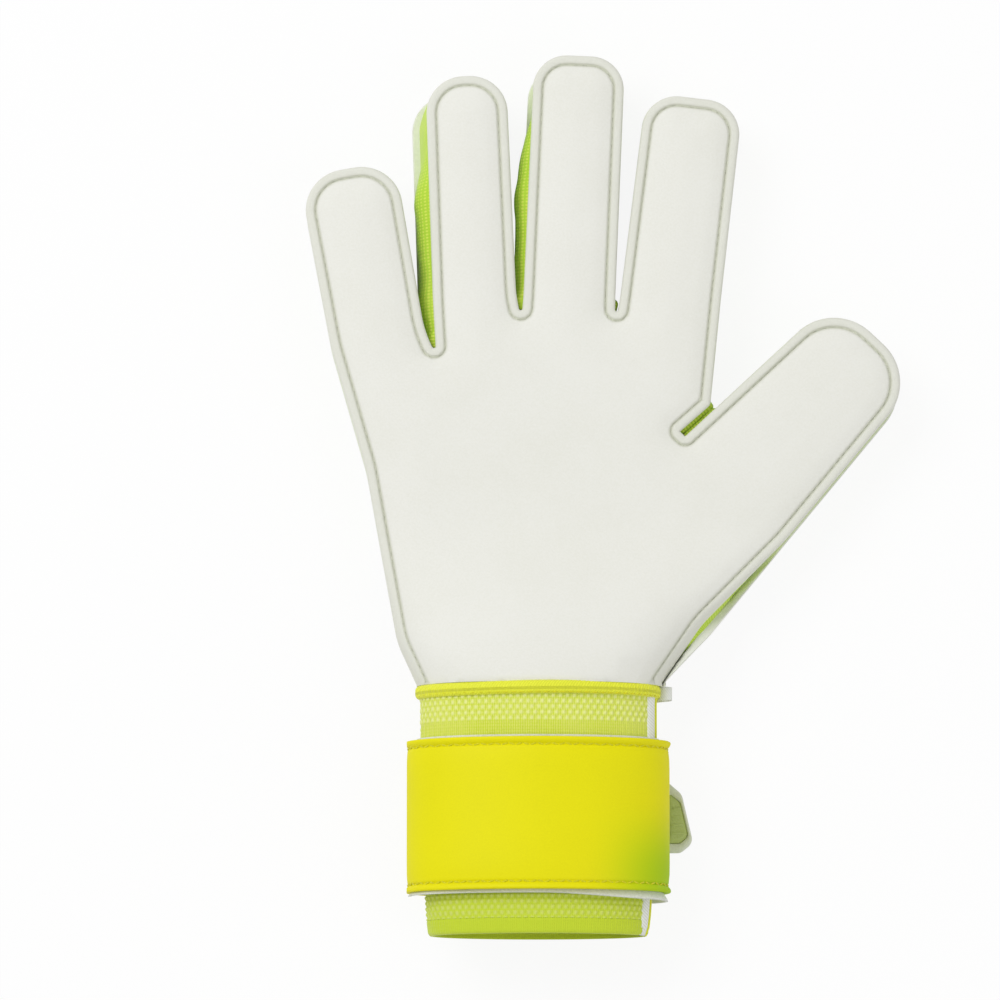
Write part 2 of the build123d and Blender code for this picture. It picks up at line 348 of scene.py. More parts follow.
class Material:
    """Builds a finish's node tree and keeps one material per finish."""

    made: ClassVar[dict[str, bpy.types.Material]] = {}

    def __init__(self, finish: Finish) -> None:
        """Make the material of a finish.

        Args:
            finish: finish of the piece.
        """
        self.finish = finish
        self.material = bpy.data.materials.new(finish.name)
        self.material.use_nodes = True
        self.tree = self.material.node_tree
        self.add = partial(add_node, self.tree)
        self.shader = self.tree.nodes["Principled BSDF"]
        self._build()
        Material.made[finish.name] = self.material

    @classmethod
    def of(cls, finish: Finish) -> bpy.types.Material:
        """The material of a finish, made on first use."""
        return cls.made.get(finish.name) or cls(finish).material

    def ripple(self, coordinate: Socket, pitch: float) -> Socket:
        """Wave from 0 to 1 along a coordinate in metres, with its pitch in mm.

        Args:
            coordinate: coordinate along which it runs.
            pitch: length of one wave.

        Returns:
            Its output socket.
        """
        turned = self.add("Math", {0: coordinate, 1: 2.0 * pi / (pitch * MM)}, operation="MULTIPLY")
        wave = self.add("Math", {0: turned}, operation="SINE")
        return self.add("Math", {0: wave, 1: 0.5, 2: 0.5}, operation="MULTIPLY_ADD")

    def grain(self, size: float, detail: float) -> Socket:
        """Random grain over the object's own coordinates, its size in mm."""
        place = self.add("TexCoord", output="Object")
        return self.add("TexNoise", {"Vector": place, "Scale": 1.0 / (size * MM), "Detail": detail})

    def fade(self, axis: int, begin: float, end: float, shape: str) -> Socket:
        """Share that grows from 0 to 1 between two places in mm on the object.

        Args:
            axis: 0 for x and 1 for y.
            begin: where the share is 0.
            end: where the share is 1.
            shape: how the share grows.

        Returns:
            Its output socket.
        """
        place = self.add("SeparateXYZ", {0: self.add("TexCoord", output="Object")}).node.outputs[axis]
        reach = {"Value": place, "From Min": begin * MM, "From Max": end * MM}
        return self.add("MapRange", reach, interpolation_type=shape)

    def tint(self, colour: Socket, share: Socket, hex_colour: str) -> Socket:
        """Mix a colour toward another by a share."""
        ends = {0: share, MIX_A: colour, MIX_B: linear(hex_colour)}
        return self.add("Mix", ends, MIX_RESULT, data_type="RGBA")

    def _height(self) -> Socket:
        """Relief of the finish's structure, from 0 to 1.

        Returns:
            Its output socket.
        """
        finish = self.finish
        parts = self.add("SeparateXYZ", {0: self.add("TexCoord", output="UV")}).node.outputs
        across, along = parts[0], parts[1]
        fine = self.grain(finish.pitch, 4.0)
        if finish.weave is Weave.MESH:
            lanes = {0: self.ripple(across, finish.pitch), 1: self.ripple(along, finish.pitch)}
            woven = self.add("Math", lanes, operation="MULTIPLY")
        elif finish.weave is Weave.KNIT:
            stitch = self.add("Math", {0: self.ripple(along, finish.pitch * 1.4), 1: 0.5}, operation="ADD")
            woven = self.add("Math", {0: self.ripple(across, finish.pitch), 1: stitch}, operation="MULTIPLY")
        elif finish.weave is Weave.TWILL:
            slant = self.add("Math", {0: along, 1: 0.8, 2: across}, operation="MULTIPLY_ADD")
            woven = self.ripple(slant, finish.pitch)
        elif finish.weave is Weave.THREAD:
            woven = self.ripple(self.add("Math", {0: across, 1: along}, operation="ADD"), finish.pitch)
        else:
            return fine
        rough = self.add("Math", {0: fine, 1: 0.3}, operation="MULTIPLY")
        return self.add("Math", {0: woven, 1: 0.75, 2: rough}, operation="MULTIPLY_ADD")

    def _build(self) -> None:
        """Colour, roughness and bump of the finish."""
        finish = self.finish
        height = self._height()
        cloud = self.grain(24.0, 2.0)
        patchy = self.add("Math", {0: cloud, 1: 0.4}, operation="MULTIPLY")
        share = self.add("Math", {0: height, 1: 0.6, 2: patchy}, operation="MULTIPLY_ADD")
        spread = self.add("MapRange", {"Value": share, "From Min": 0.3, "From Max": 0.62})
        ends = {0: spread, MIX_A: linear(finish.dark), MIX_B: linear(finish.light)}
        shown = self.add("Mix", ends, MIX_RESULT, data_type="RGBA")
        if finish.weave is Weave.COATED:
            shown = self._strap_shade(shown)
        if finish.weave in (Weave.KNIT, Weave.FOAM):
            shown = self._relief_shade(shown)
        matt = {0: cloud, 1: 0.12, 2: finish.roughness - 0.06}
        bump = {"Strength": 0.8, "Distance": finish.relief * MM, "Height": height}
        for name, value in (
            ("Base Color", shown),
            ("Roughness", self.add("Math", matt, operation="MULTIPLY_ADD")),
            ("Normal", self.add("Bump", bump)),
        ):
            self.tree.links.new(value, self.shader.inputs[name])
        self.shader.inputs["Sheen Weight"].default_value = finish.sheen
        self.shader.inputs["Specular IOR Level"].default_value = finish.specular
        self.shader.inputs["IOR"].default_value = finish.ior
        self.shader.inputs["Metallic"].default_value = finish.metallic

    def _strap_shade(self, colour: Socket) -> Socket:
        """Colour that fades to lime at the strap's lower thumb side.

        Args:
            colour: colour to change.

        Returns:
            Its output socket.
        """
        side = self.fade(0, CUFF_X + 14, CUFF_X + 44, "SMOOTHSTEP")
        low = self.fade(1, STRAP_TOP_Y - 18, STRAP_TOP_Y - 44, "SMOOTHSTEP")
        share = self.add("Math", {0: side, 1: low}, operation="MULTIPLY")
        return self.tint(colour, share, STRAP_FADE)

    def _relief_shade(self, colour: Socket) -> Socket:
        """Painted shade and highlight by the relief that the mesh itself stores in its relief attribute:
        shade in the foam's grooves, a highlight on the knit's raised knots, and the knit's greener colour
        below the strap.

        Args:
            colour: colour to change.

        Returns:
            Its output socket.
        """
        relief = self.add("Attribute", output="Fac", attribute_name="relief")
        if self.finish.weave is Weave.FOAM:
            # painted shade: foam tinted toward GROOVE_SHADE in its grooves, channels and flange
            return self.tint(colour, relief, GROOVE_SHADE)
        low = self.fade(1, STRAP_TOP_Y - 10, STRAP_TOP_Y - 40, "LINEAR")
        colour = self.tint(colour, self.add("Math", {0: low, 1: 0.75}, operation="MULTIPLY"), LOWER_KNIT)
        # painted highlight on the raised knots, weaker below the strap
        left = self.add("Math", {0: low, 1: -0.55, 2: 1.0}, operation="MULTIPLY_ADD")
        knots = self.add("Math", {0: relief, 1: left}, operation="MULTIPLY")
        return self.tint(colour, knots, KNOT_LIGHT)


# ---------------------------------------------------------------- meshes
def make_piece(
    name: str,
    points: Array,
    faces: list,
    finish: Finish,
    uv: Array | None = None,
    normals: Array | None = None,
    relief: Array | None = None,
) -> bpy.types.Object:
    """Make a mesh object from points in mm.

    Args:
        name: piece name.
        points: vertex positions, (n, 3) in mm.
        faces: index tuples.
        finish: finish of the whole piece.
        uv: surface coordinates in mm, one per vertex; x and y of the points if left out.
        normals: shading normals, one per vertex.
        relief: 0..1 shares of painted shade and painted highlight that the shader reads, one per vertex.

    Returns:
        The new object, linked to the scene.
    """
    mesh = bpy.data.meshes.new(name)
    points = np.asarray(points, float)
    mesh.from_pydata([tuple(p) for p in points * MM], [], [tuple(f) for f in faces])
    mesh.update()
    flat = points[:, :2] if uv is None else np.asarray(uv, float)
    layer = mesh.uv_layers.new(name="pattern")
    loops = np.empty(len(mesh.loops), dtype=np.int32)
    mesh.loops.foreach_get("vertex_index", loops)
    layer.data.foreach_set("uv", (flat[loops] * MM).astype(np.float32).ravel())
    mesh.shade_smooth()
    if relief is not None:
        attribute = mesh.attributes.new("relief", "FLOAT", "POINT")
        attribute.data.foreach_set("value", np.asarray(relief, np.float32))
    if normals is not None:
        mesh.normals_split_custom_set_from_vertices([tuple(n) for n in normals])
    mesh.materials.append(Material.of(finish))
    piece = bpy.data.objects.new(name, mesh)
    bpy.context.collection.objects.link(piece)
    return piece


def closed_sheet(outer: Array, inner: Array) -> Mesh:
    """Closed shell between two grids of the same shape.

    Args:
        outer: (n, m, 3) grid of the outside.
        inner: (n, m, 3) grid of the inside.

    Returns:
        Points and faces.
    """
    n, m = outer.shape[:2]
    points = np.concatenate([outer.reshape(-1, 3), inner.reshape(-1, 3)])
    shift = n * m
    faces = []
    for i in range(n - 1):
        k = i + 1
        for j in range(m - 1):
            a, b, c, d = i * m + j, k * m + j, k * m + j + 1, i * m + j + 1
            faces.append((a, b, c, d))
            faces.append((d + shift, c + shift, b + shift, a + shift))
        faces.append((k * m, i * m, i * m + shift, k * m + shift))
        faces.append((i * m + m - 1, k * m + m - 1, k * m + m - 1 + shift, i * m + m - 1 + shift))
    last = (n - 1) * m
    for j in range(m - 1):
        faces.append((j, j + 1, j + 1 + shift, j + shift))
        faces.append((last + j + 1, last + j, last + j + shift, last + j + 1 + shift))
    return points, faces


def vertex_normals(points: Array, triangles: Array) -> Array:
    """Area-weighted normals of a triangle mesh.

    Args:
        points: positions in mm.
        triangles: index triples.

    Returns:
        Unit normals, one per point.
    """
    a, b, c = (points[triangles[:, i]] for i in range(3))
    face = np.cross(b - a, c - a)
    total = np.zeros_like(points)
    for i in range(3):
        np.add.at(total, triangles[:, i], face)
    length = np.linalg.norm(total, axis=1, keepdims=True)
    return total / np.maximum(length, TINY)


def join_parts(parts: list[Mesh]) -> Mesh:
    """Put several point and face lists into one.

    Args:
        parts: points and faces of each.

    Returns:
        Points and faces.
    """
    points, faces, start = [], [], 0
    for some, more in parts:
        points.append(some)
        faces += [tuple(i + start for i in face) for face in more]
        start += len(some)
    return np.concatenate(points), faces


# ---------------------------------------------------------------- pattern outline
class Outline:
    """Rounded outline of a hand panel, from the wrist's little-finger side round to its thumb side."""

    STEP = 1.3  # sampling step
    EASED = 8  # points on each side that move along with a split point

    def __init__(self, back: bool, like: "Outline | None" = None) -> None:
        """Sample the outline and mark where it is split between the bodies.

        Args:
            back: whether it is the back panel.
            like: outline to share the point counts with.
        """
        self.back = back
        corners, radii = self._corners()
        self.counts: list[tuple[int, int]] = like.counts if like else []
        whole = self._sample(corners, radii, self.STEP)
        self.extended = whole
        self.points = self._clip_at_wrist(whole)
        self.splits = dict(like.splits) if like else {}
        self._mark_splits()
        self.outward = self._outward(self.points)

    def _finger(self, cut: FingerCut) -> tuple[list, list]:
        """Corners of one finger.

        Args:
            cut: the finger.

        Returns:
            Corners and their radii.
        """
        left, right = (cut.back_left, cut.back_right) if self.back else (0.0, 0.0)
        root, tip = cut.root * PALM_W, cut.tip * PALM_W
        corners = [
            cut.place(-root - left, 0),
            cut.place(-tip - left, cut.length - left),
            cut.place(tip + right, cut.length),
            cut.place(root + right, 0),
        ]
        return corners, [40.0, cut.corner * tip, cut.corner * tip, 40.0]

    def _corners(self) -> tuple[list, list]:
        """Corners of the whole outline.

        Returns:
            Corners and their radii.
        """
        corners = [hand_point(-0.304, -0.10), hand_point(-0.304, -0.015), hand_point(-0.364, 0.115)]
        corners.append(hand_point(-0.446, 0.560))
        radii = [0.0, 12.0, 30.0, 60.0]
        for i, name in enumerate(("little", "ring", "middle", "index")):
            more, more_radii = self._finger(FINGERS[name])
            corners, radii = corners + more, radii + more_radii
            if i < len(CROTCHES):
                across, along, shift = CROTCHES[i]
                x, y = hand_point(across, along)
                x += shift if self.back else 0.0
                corners += [(x - CROTCH_HALF, y), (x + CROTCH_HALF, y)]
                radii += [0.6, 0.6]
        corners += [hand_point(0.448, 0.722), hand_point(0.368, 0.653), hand_point(0.384, 0.638)]
        radii += [2.0, 0.5, 0.5]
        more, more_radii = self._finger(FINGERS["thumb"])
        corners, radii = corners + more[1:], radii + more_radii[1:]
        low_x, low_y = hand_point(0.424, 0.158)
        corners.append((low_x + 2.9, low_y - 3.0) if self.back else (low_x, low_y))
        corners += [hand_point(0.304, -0.015), hand_point(0.304, -0.10)]
        radii += [35.0, 12.0, 0.0]
        return corners, radii

    def _sample(self, corners: list, radii: list, step: float) -> Array:
        """Points along the rounded outline.

        Args:
            corners: corners of the outline.
            radii: rounding of each corner.
            step: point spacing.

        Returns:
            Points, (n, 2).
        """
        place = np.array(corners, float)
        count = len(place)
        rounds = []
        for i in range(count):
            before, here, after = place[i - 1], place[i], place[(i + 1) % count]
            back, ahead = before - here, after - here
            back /= np.linalg.norm(back)
            ahead /= np.linalg.norm(ahead)
            angle = acos(float(np.clip(back @ ahead, -1.0, 1.0)))
            reach = radii[i] / tan(angle / 2.0) if radii[i] else 0.0
            rounds.append((here + back * reach, here + ahead * reach, back, ahead, angle))
        fresh = not self.counts
        points = []
        for i in range(count - 1):
            start, end, back, ahead, angle = rounds[i]
            radius, here, following = radii[i], place[i], rounds[i + 1][0]
            if fresh:
                fine = min(step, max(radius * 0.1, 0.1))
                arc = max(2, int(radius * (pi - angle) / fine)) if radius else 0
                line = max(1, int(np.linalg.norm(following - end) / step))
                self.counts.append((arc, line))
            arc, line = self.counts[i]
            if radius and arc:
                middle = (back + ahead) / np.linalg.norm(back + ahead)
                centre = here + middle * radius / sin(angle / 2.0)
                first = atan2(*(start - centre)[::-1])
                turn = (atan2(*(end - centre)[::-1]) - first + pi) % (2 * pi) - pi
                for k in range(arc + 1):
                    a = first + turn * k / arc
                    points.append(centre + radius * np.array([cos(a), sin(a)]))
            else:
                points.append(here)
            points += [end + (following - end) * k / line for k in range(1, line)]
        points.append(place[-1])
        return np.array(points)

    @staticmethod
    def _clip_at_wrist(points: Array) -> Array:
        """Outline cut off level at the wrist seam.

        Args:
            points: positions in mm.

        Returns:
            The points that stay, (n, 2).
        """
        kept = points[points[:, 1] > WRIST_Y + 0.3]
        first, last = kept[0].copy(), kept[-1].copy()
        first[1] = last[1] = WRIST_Y
        return np.vstack([first, kept, last])

    def _mark_splits(self) -> None:
        """Slide outline points so that one lies exactly on each finger's split line, on both sides."""
        bottoms = [hand_point(across, along) for across, along, _ in CROTCHES]
        bottoms.append(hand_point(*THUMB_CROTCH))
        if not self.splits:
            near = [int(np.argmin(np.linalg.norm(self.points - bottom, axis=1))) for bottom in bottoms]
            limits = [0, *near, len(self.points) - 1]
            for (name, cut), low, high in zip(FINGERS.items(), limits[:-1], limits[1:]):
                along = cut.local(self.points)[1]
                tip = low + int(np.argmax(along[low : high + 1]))
                left = low + int(np.argmin(np.abs(along[low:tip] - cut.split)))
                right = tip + int(np.argmin(np.abs(along[tip : high + 1] - cut.split)))
                self.splits[name] = (left, right)
        for name, cut in FINGERS.items():
            for index in self.splits[name]:
                self._slide(index, cut.local(self.points)[1], cut.split)

    def _slide(self, index: int, along: Array, target: float) -> None:
        """Move one outline point along the outline to a finger position, easing its neighbours.

        Args:
            index: the point.
            along: finger positions of all points.
            target: finger position that it moves to.
        """
        rising = 1 if along[index + 1] > along[index - 1] else -1
        low = high = index
        while index - low < self.EASED and (along[low] - along[low - 1]) * rising > 1e-4:
            low -= 1
        while high - index < self.EASED and (along[high + 1] - along[high]) * rising > 1e-4:
            high += 1
        part = self.points[low : high + 1]
        run = path_run(part)
        order = slice(None, None, rising)
        stop = float(np.interp(target, along[low : high + 1][order], run[order]))
        before, after = np.linspace(0, stop, index - low + 1), np.linspace(stop, run[-1], high - index + 1)
        fresh = np.concatenate([before[:-1], after])
        self.points[low : high + 1] = np.column_stack([np.interp(fresh, run, part[:, i]) for i in (0, 1)])

    @staticmethod
    def _outward(points: Array) -> Array:
        """Unit vectors out of the panel.

        Args:
            points: positions in mm.

        Returns:
            Vectors, (n, 2).
        """
        ahead = np.gradient(points, axis=0)
        ahead /= np.maximum(np.linalg.norm(ahead, axis=1, keepdims=True), TINY)
        return np.column_stack([-ahead[:, 1], ahead[:, 0]])

    def depth(self, points: Array) -> Array:
        """Distance inside the sewn outline, negative outside; the wrist edge doesn't count.

        Args:
            points: positions in mm.

        Returns:
            Distances, one per point.
        """
        points = np.asarray(points, float)[:, :2]
        a, b = self.extended[:-1], self.extended[1:]
        span = b - a
        square = np.maximum((span**2).sum(1), TINY)
        result = np.empty(len(points))
        for start in range(0, len(points), 2000):
            some = points[start : start + 2000]
            rel = some[:, None, :] - a[None]
            t = np.clip((rel * span).sum(2) / square, 0.0, 1.0)
            gap = rel - t[..., None] * span
            near = np.sqrt((gap**2).sum(2).min(1))
            ring_a, ring_b = self.extended, np.roll(self.extended, -1, axis=0)
            above = (ring_a[None, :, 1] > some[:, 1:2]) != (ring_b[None, :, 1] > some[:, 1:2])
            rise = ring_b[:, 1] - ring_a[:, 1]
            rise = np.where(np.abs(rise) < TINY, TINY, rise)
            cross = ring_a[:, 0] + (some[:, 1:2] - ring_a[:, 1]) * (ring_b[:, 0] - ring_a[:, 0]) / rise
            inside = (above & (some[:, 0:1] < cross)).sum(1) % 2 == 1
            result[start : start + 2000] = np.where(inside, near, -near)
        return result

    def ranges(self) -> list[tuple[str, int, int]]:
        """Stretches of the outline: (body, first index, last index), in order.

        Returns:
            The stretches from one end to the other.
        """
        stretches, start = [], 0
        for name in ("little", "ring", "middle", "index", "thumb"):
            left, right = self.splits[name]
            stretches += [("hand", start, left), (name, left, right)]
            start = right
        return stretches + [("hand", start, len(self.points) - 1)]


class Pattern:
    """Both outlines, the surfaces of the hand, and the triangulated panels."""

    RINGS = (0.35, 0.9, 1.6, 2.2, 2.6, 3.0, 3.4, 3.9, 4.8, 6.0, 7.6, 9.6, 12.0)  # rows inside the edge
    CREASE = 1.8  # point spacing along a finger crease
    CROWDED = 0.55  # a point nearer than this to a crease is dropped
    WRIST_STEP = 2.2
    CHANNELS = (0.14, 0.30, 0.56, 0.72)  # places of the bend channels as shares of a finger's length
    THUMB_CHANNELS = (0.22, 0.44, 0.66)

    def __init__(self) -> None:
        """Draw both outlines and keep the two edges near the wrist."""
        self.palm = Outline(back=False)
        self.back = Outline(back=True, like=self.palm)
        points = self.palm.points
        left = points[: np.argmax(points[:, 1] > 10.0)]
        right = points[len(points) - np.argmax(points[::-1, 1] > 10.0) :][::-1]
        self.left = left[np.argsort(left[:, 1])]
        self.right = right[np.argsort(right[:, 1])]

    def wrist_oval(self, points: Array) -> tuple[Array, Array]:
        """How far a point has turned from the flat hand to the oval wrist, and the oval's height there.

        Args:
            points: positions in mm.

        Returns:
            Share turned and height, one each per point.
        """
        x, y = points[:, 0], points[:, 1]
        low = np.interp(y, self.left[:, 1], self.left[:, 0])
        high = np.interp(y, self.right[:, 1], self.right[:, 0])
        half = np.maximum((high - low) / 2.0 + 1.0, 1.0)
        share = np.clip(np.abs(x - (low + high) / 2.0) / half, 0.0, 1.0)
        turned = smooth((RAMP_START_Y - y) / (RAMP_START_Y - WRIST_Y))
        return turned, WRIST_RISE * (1.0 - share**2.3) ** 0.5

    def palm_base(self, points: Array) -> Array:
        """Height of the palm surface before its edge profile."""
        turned, oval = self.wrist_oval(points)
        return (1.0 - turned) * FINGER_DEPTH + turned * (CUFF_Z + oval)

    def back_base(self, points: Array) -> Array:
        """Height of the outside of the back before its edge profile."""
        turned, oval = self.wrist_oval(points)
        return turned * (CUFF_Z - oval)

    @staticmethod
    def palm_profile(depth: Array) -> Array:
        """Palm height over its base by distance from the raw edge.

        Args:
            depth: distance inside the outline.

        Returns:
            Heights, one per point.
        """
        edge = -0.55 * (1.0 - np.clip(depth / 0.9, 0.0, 1.0)) ** 2
        groove = -1.1 * np.exp(-(((depth - SEAM_PALM) / 0.38) ** 2))
        shoulder = 1.15 * smooth((depth - SEAM_PALM) / 5.0)
        crown = 0.9 * smooth((depth - 5.0) / 12.0)
        return -1.35 + edge + groove + shoulder + crown

    @staticmethod
    def back_profile(depth: Array) -> Array:
        """Back height over its base by distance from the raw edge; up means thinner.

        Args:
            depth: distance inside the outline.

        Returns:
            Heights, one per point.
        """
        edge = 0.6 * (1.0 - np.clip(depth / 0.9, 0.0, 1.0)) ** 2
        groove = 0.9 * np.exp(-(((depth - SEAM_BACK) / 0.5) ** 2))
        return 1.3 + edge + groove - 1.3 * smooth((depth - SEAM_BACK) / 4.0)

    def knuckle_channels(self, points: Array) -> Array:
        """Depth of the bend channels pressed across the back of each finger, 0 to 1.

        Args:
            points: positions in mm.

        Returns:
            Depths, one per point.
        """
        total = np.zeros(len(points))
        for name, cut in FINGERS.items():
            across, along = cut.local(points)
            lane = smooth((cut.root * PALM_W - 2.0 - np.abs(across)) / 3.0)
            stations = self.THUMB_CHANNELS if name == "thumb" else self.CHANNELS
            for station in stations:
                total += lane * np.exp(-(((along - station * cut.length) / 1.1) ** 2))
        return np.clip(total, 0.0, 1.0)

    def flat_net(self, outline: Outline, spacing: float) -> tuple[Array, list, Array]:
        """Triangulate one panel flat.

        Args:
            outline: the panel's outline.
            spacing: point spacing in the open middle.

        Returns:
            Points, triangles, and the outline's indices in order round the panel.
        """
        border = outline.points
        wrist_count = int((border[-1, 0] - border[0, 0]) / self.WRIST_STEP)
        wrist_x = np.linspace(border[-1, 0], border[0, 0], wrist_count + 1)[1:-1]
        wrist = np.column_stack([wrist_x, np.full(len(wrist_x), WRIST_Y)])
        loop = np.vstack([border, wrist])
        inner = []
        for k, ring in enumerate(self.RINGS):
            step = 1 if ring < 4.5 else 2
            moved = border - outline.outward * ring
            moved = moved[k % 2 :: step]
            inner.append(moved[outline.depth(moved) > ring - 0.12])
        low, high = border.min(0), border.max(0)
        rows = np.arange(low[1], high[1], spacing * 0.866)
        for k, y in enumerate(rows):
            x = np.arange(low[0] + (k % 2) * spacing / 2, high[0], spacing)
            inner.append(np.column_stack([x, np.full(len(x), y)]))
        grid = np.vstack(inner)
        rings = sum(len(i) for i in inner[: len(self.RINGS)])
        depth = outline.depth(grid)
        keep = (depth > 0.2) & (grid[:, 1] > WRIST_Y + 0.8)
        keep[rings:] &= depth[rings:] > self.RINGS[-1] + spacing * 0.45
        grid = grid[keep]
        creases, edges = [], []
        start = len(loop) + len(grid)
        for name, cut in FINGERS.items():
            left, right = outline.splits[name]
            a, b = border[left], border[right]
            length = float(np.linalg.norm(b - a))
            near = np.array(self.RINGS)
            inner_points = np.arange(near[-1] + self.CREASE, length - near[-1] - self.CREASE / 2, self.CREASE)
            where = np.concatenate([near, inner_points, length - near[::-1]])
            some = [a + (b - a) * k / length for k in where]
            first = start + len(creases)
            creases += some
            chain = [left, *range(first, first + len(some)), right]
            edges += list(zip(chain[:-1], chain[1:]))
        points = np.vstack([loop, grid, np.array(creases)])
        near = self._crowded(grid, np.array(creases), self.CROWDED)
        usable = np.ones(len(points), bool)
        usable[len(loop) : len(loop) + len(grid)] = ~near
        index = np.cumsum(usable) - 1
        points = points[usable]
        edges = [(int(index[a]), int(index[b])) for a, b in edges]
        count = len(loop)
        edges += [(i, (i + 1) % count) for i in range(count)]
        net = delaunay_2d_cdt([Vector(p) for p in points], edges, [], 1, 1e-5)
        flat = np.array([tuple(v) for v in net[0]])
        triangles = [tuple(f) for f in net[2] if len(f) == 3]
        return flat, triangles, np.arange(count)

    @staticmethod
    def _crowded(points: Array, others: Array, limit: float) -> Array:
        """Which points lie too near to others.

        Args:
            points: positions in mm.
            others: points to keep away from.
            limit: smallest distance allowed.

        Returns:
            True for a point that is too near.
        """
        gap = np.full(len(points), np.inf)
        for start in range(0, len(points), 4000):
            some = points[start : start + 4000]
            gap[start : start + 4000] = np.sqrt(((some[:, None] - others[None]) ** 2).sum(2)).min(1)
        return gap < limit


def blend_finger(piece: bpy.types.Object, name: str) -> None:
    """Bake a finger's piece where it was made; the ends of its bend span are worked out but not used.

    Args:
        piece: piece to carry.
        name: finger.
    """
    cut = FINGERS[name]
    start = cut.place(0.0, cut.split + 0.2)
    end = cut.place(0.0, cut.split + BLEND_LEN)
    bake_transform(piece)


def carry(piece: bpy.types.Object, body: str) -> None:
    """Fix a sewn piece to the hand, or bake a finger's piece where it was made.

    Args:
        piece: piece to carry.
        body: the hand, or the finger that the piece belongs to.
    """
    if body == "hand":
        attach(piece, "hand")
    else:
        blend_finger(piece, body)


@dataclass
class Panels:
    """Palm foam and padded back, each one continuous surface cut at the finger creases.

    Args:
        pattern: outlines and surfaces of the hand.
        spacing: point spacing in the open middle of a panel.
        swell: how far the cut edge swells outward.
        channel: depth of the bend channels on the back.
        palm_groove: half breadth of the shade in the palm's groove.
        back_groove: half breadth of the shade in the back's groove.
        flange_shade: shade outside the palm's seam, as a share.
        shade: strength of all the shade.
    """

    pattern: Pattern
    spacing: float = 2.6
    swell: float = 0.22
    channel: float = 1.5
    palm_groove: float = 0.42
    back_groove: float = 0.75
    flange_shade: float = 0.3
    shade: float = 0.7

    def build(self) -> None:
        """Make and dress both panels."""
        self._panel(self.pattern.palm, LATEX, Side.PALM)
        self._panel(self.pattern.back, BACK, Side.BACK)

    def _faces(self, side: Side, flat: Array, depth: Array) -> tuple[Array, ...]:
        """Heights of a panel's outside and inside, and the painted shade of each point from how deep it lies
        in a groove, the back's bend channels and the palm's flange.

        Args:
            side: palm or back.
            flat: flat positions of the panel's points.
            depth: distance inside the outline.

        Returns:
            Outside, inside and painted shade, one value each per point.
        """
        pattern = self.pattern
        if side is Side.PALM:
            base = pattern.palm_base(flat)
            flange = self.flange_shade * (depth < SEAM_PALM)
            painted_shade = np.exp(-(((depth - SEAM_PALM) / self.palm_groove) ** 2)) + flange
            return base + pattern.palm_profile(depth), base - FOAM_T, painted_shade
        base = pattern.back_base(flat)
        channels = pattern.knuckle_channels(flat) * smooth((depth - 3.0) / 2.0)
        groove = np.exp(-(((depth - SEAM_BACK) / self.back_groove) ** 2))
        outside = base + pattern.back_profile(depth) + self.channel * channels
        return outside, base + BACK_T, np.maximum(groove, 0.5 * channels)

    def _panel(self, outline: Outline, finish: Finish, side: Side) -> None:
        """Make one panel as a closed skin and cut it into the pieces of its bodies.

        Args:
            outline: outline of the panel.
            finish: finish of the piece.
            side: palm or back.
        """
        flat, triangles, border = self.pattern.flat_net(outline, self.spacing)
        depth = np.maximum(outline.depth(flat), 0.0)
        depth[: len(outline.points)] = 0.0
        outside, inside, painted_shade = self._faces(side, flat, depth)
        middle = (outside + inside) / 2.0
        count, rim = len(flat), len(border)
        levels_z = (outside * 0.75 + inside * 0.25, middle * 0.3 + inside * 0.7)
        points = np.vstack(
            [
                np.column_stack([flat, outside]),
                np.column_stack([flat, inside]),
                *(np.column_stack([flat[:rim], z[:rim]]) for z in levels_z),
            ]
        )
        bulge = np.zeros((rim, 2))
        bulge[: len(outline.points)] = outline.outward * self.swell
        points[2 * count : 2 * count + rim, :2] += bulge
        points[2 * count + rim :, :2] += bulge * 0.8
        top = np.array(triangles)
        low = top[:, ::-1] + count
        levels = [start + np.arange(rim) for start in (0, 2 * count, 2 * count + rim, count)]
        side_faces = []
        for upper, lower in zip(levels[:-1], levels[1:]):
            for i in range(rim):
                k = (i + 1) % rim
                side_faces += [(upper[i], lower[i], lower[k]), (upper[i], lower[k], upper[k])]
        sides = np.array(side_faces)
        if self._faces_down(points, top) != (side is Side.BACK):
            top, low = top[:, ::-1], low[:, ::-1]
        if self._side_turn(points, sides, outline, rim) < 0:
            sides = sides[:, ::-1]
        every = np.vstack([top, low, sides])
        normals = vertex_normals(points, every)
        # painted shade: the shader tints the foam toward GROOVE_SHADE by these shares
        shade = np.zeros(len(points))
        shade[:count] = np.clip(painted_shade, 0, 1) * self.shade
        bodies = self._bodies(points[every].mean(1), side)
        hand_node = "palm_foam" if side is Side.PALM else "back_panel"
        for body in ("hand", *FINGERS):
            used, packed = np.unique(every[bodies == body], return_inverse=True)
            node = hand_node if body == "hand" else f"{body}_{side.value}"
            piece = make_piece(
                f"{node}_sewn",
                points[used],
                packed.reshape(-1, 3).tolist(),
                finish,
                normals=normals[used],
                relief=shade[used],
            )
            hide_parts(node)
            carry(piece, body)

    @staticmethod
    def _faces_down(points: Array, faces: Array) -> bool:
        """Whether a flat net's faces look down."""
        a, b, c = (points[faces[:, i], :2] for i in range(3))
        return float(((b - a)[:, 0] * (c - a)[:, 1] - (b - a)[:, 1] * (c - a)[:, 0]).sum()) < 0

    @staticmethod
    def _side_turn(points: Array, sides: Array, outline: Outline, rim: int) -> float:
        """Positive when the side walls face out of the panel.

        Args:
            points: positions in mm.
            sides: wall triangles.
            outline: outline of the panel.
            rim: points round the panel.

        Returns:
            Sum of the walls' outward parts.
        """
        some = sides[: 2 * (len(outline.points) - 2) : 7]
        a, b, c = (points[some[:, i]] for i in range(3))
        face = np.cross(b - a, c - a)[:, :2]
        out = outline.outward[np.minimum(some[:, 0] % rim, len(outline.points) - 1)]
        return float((face * out).sum())

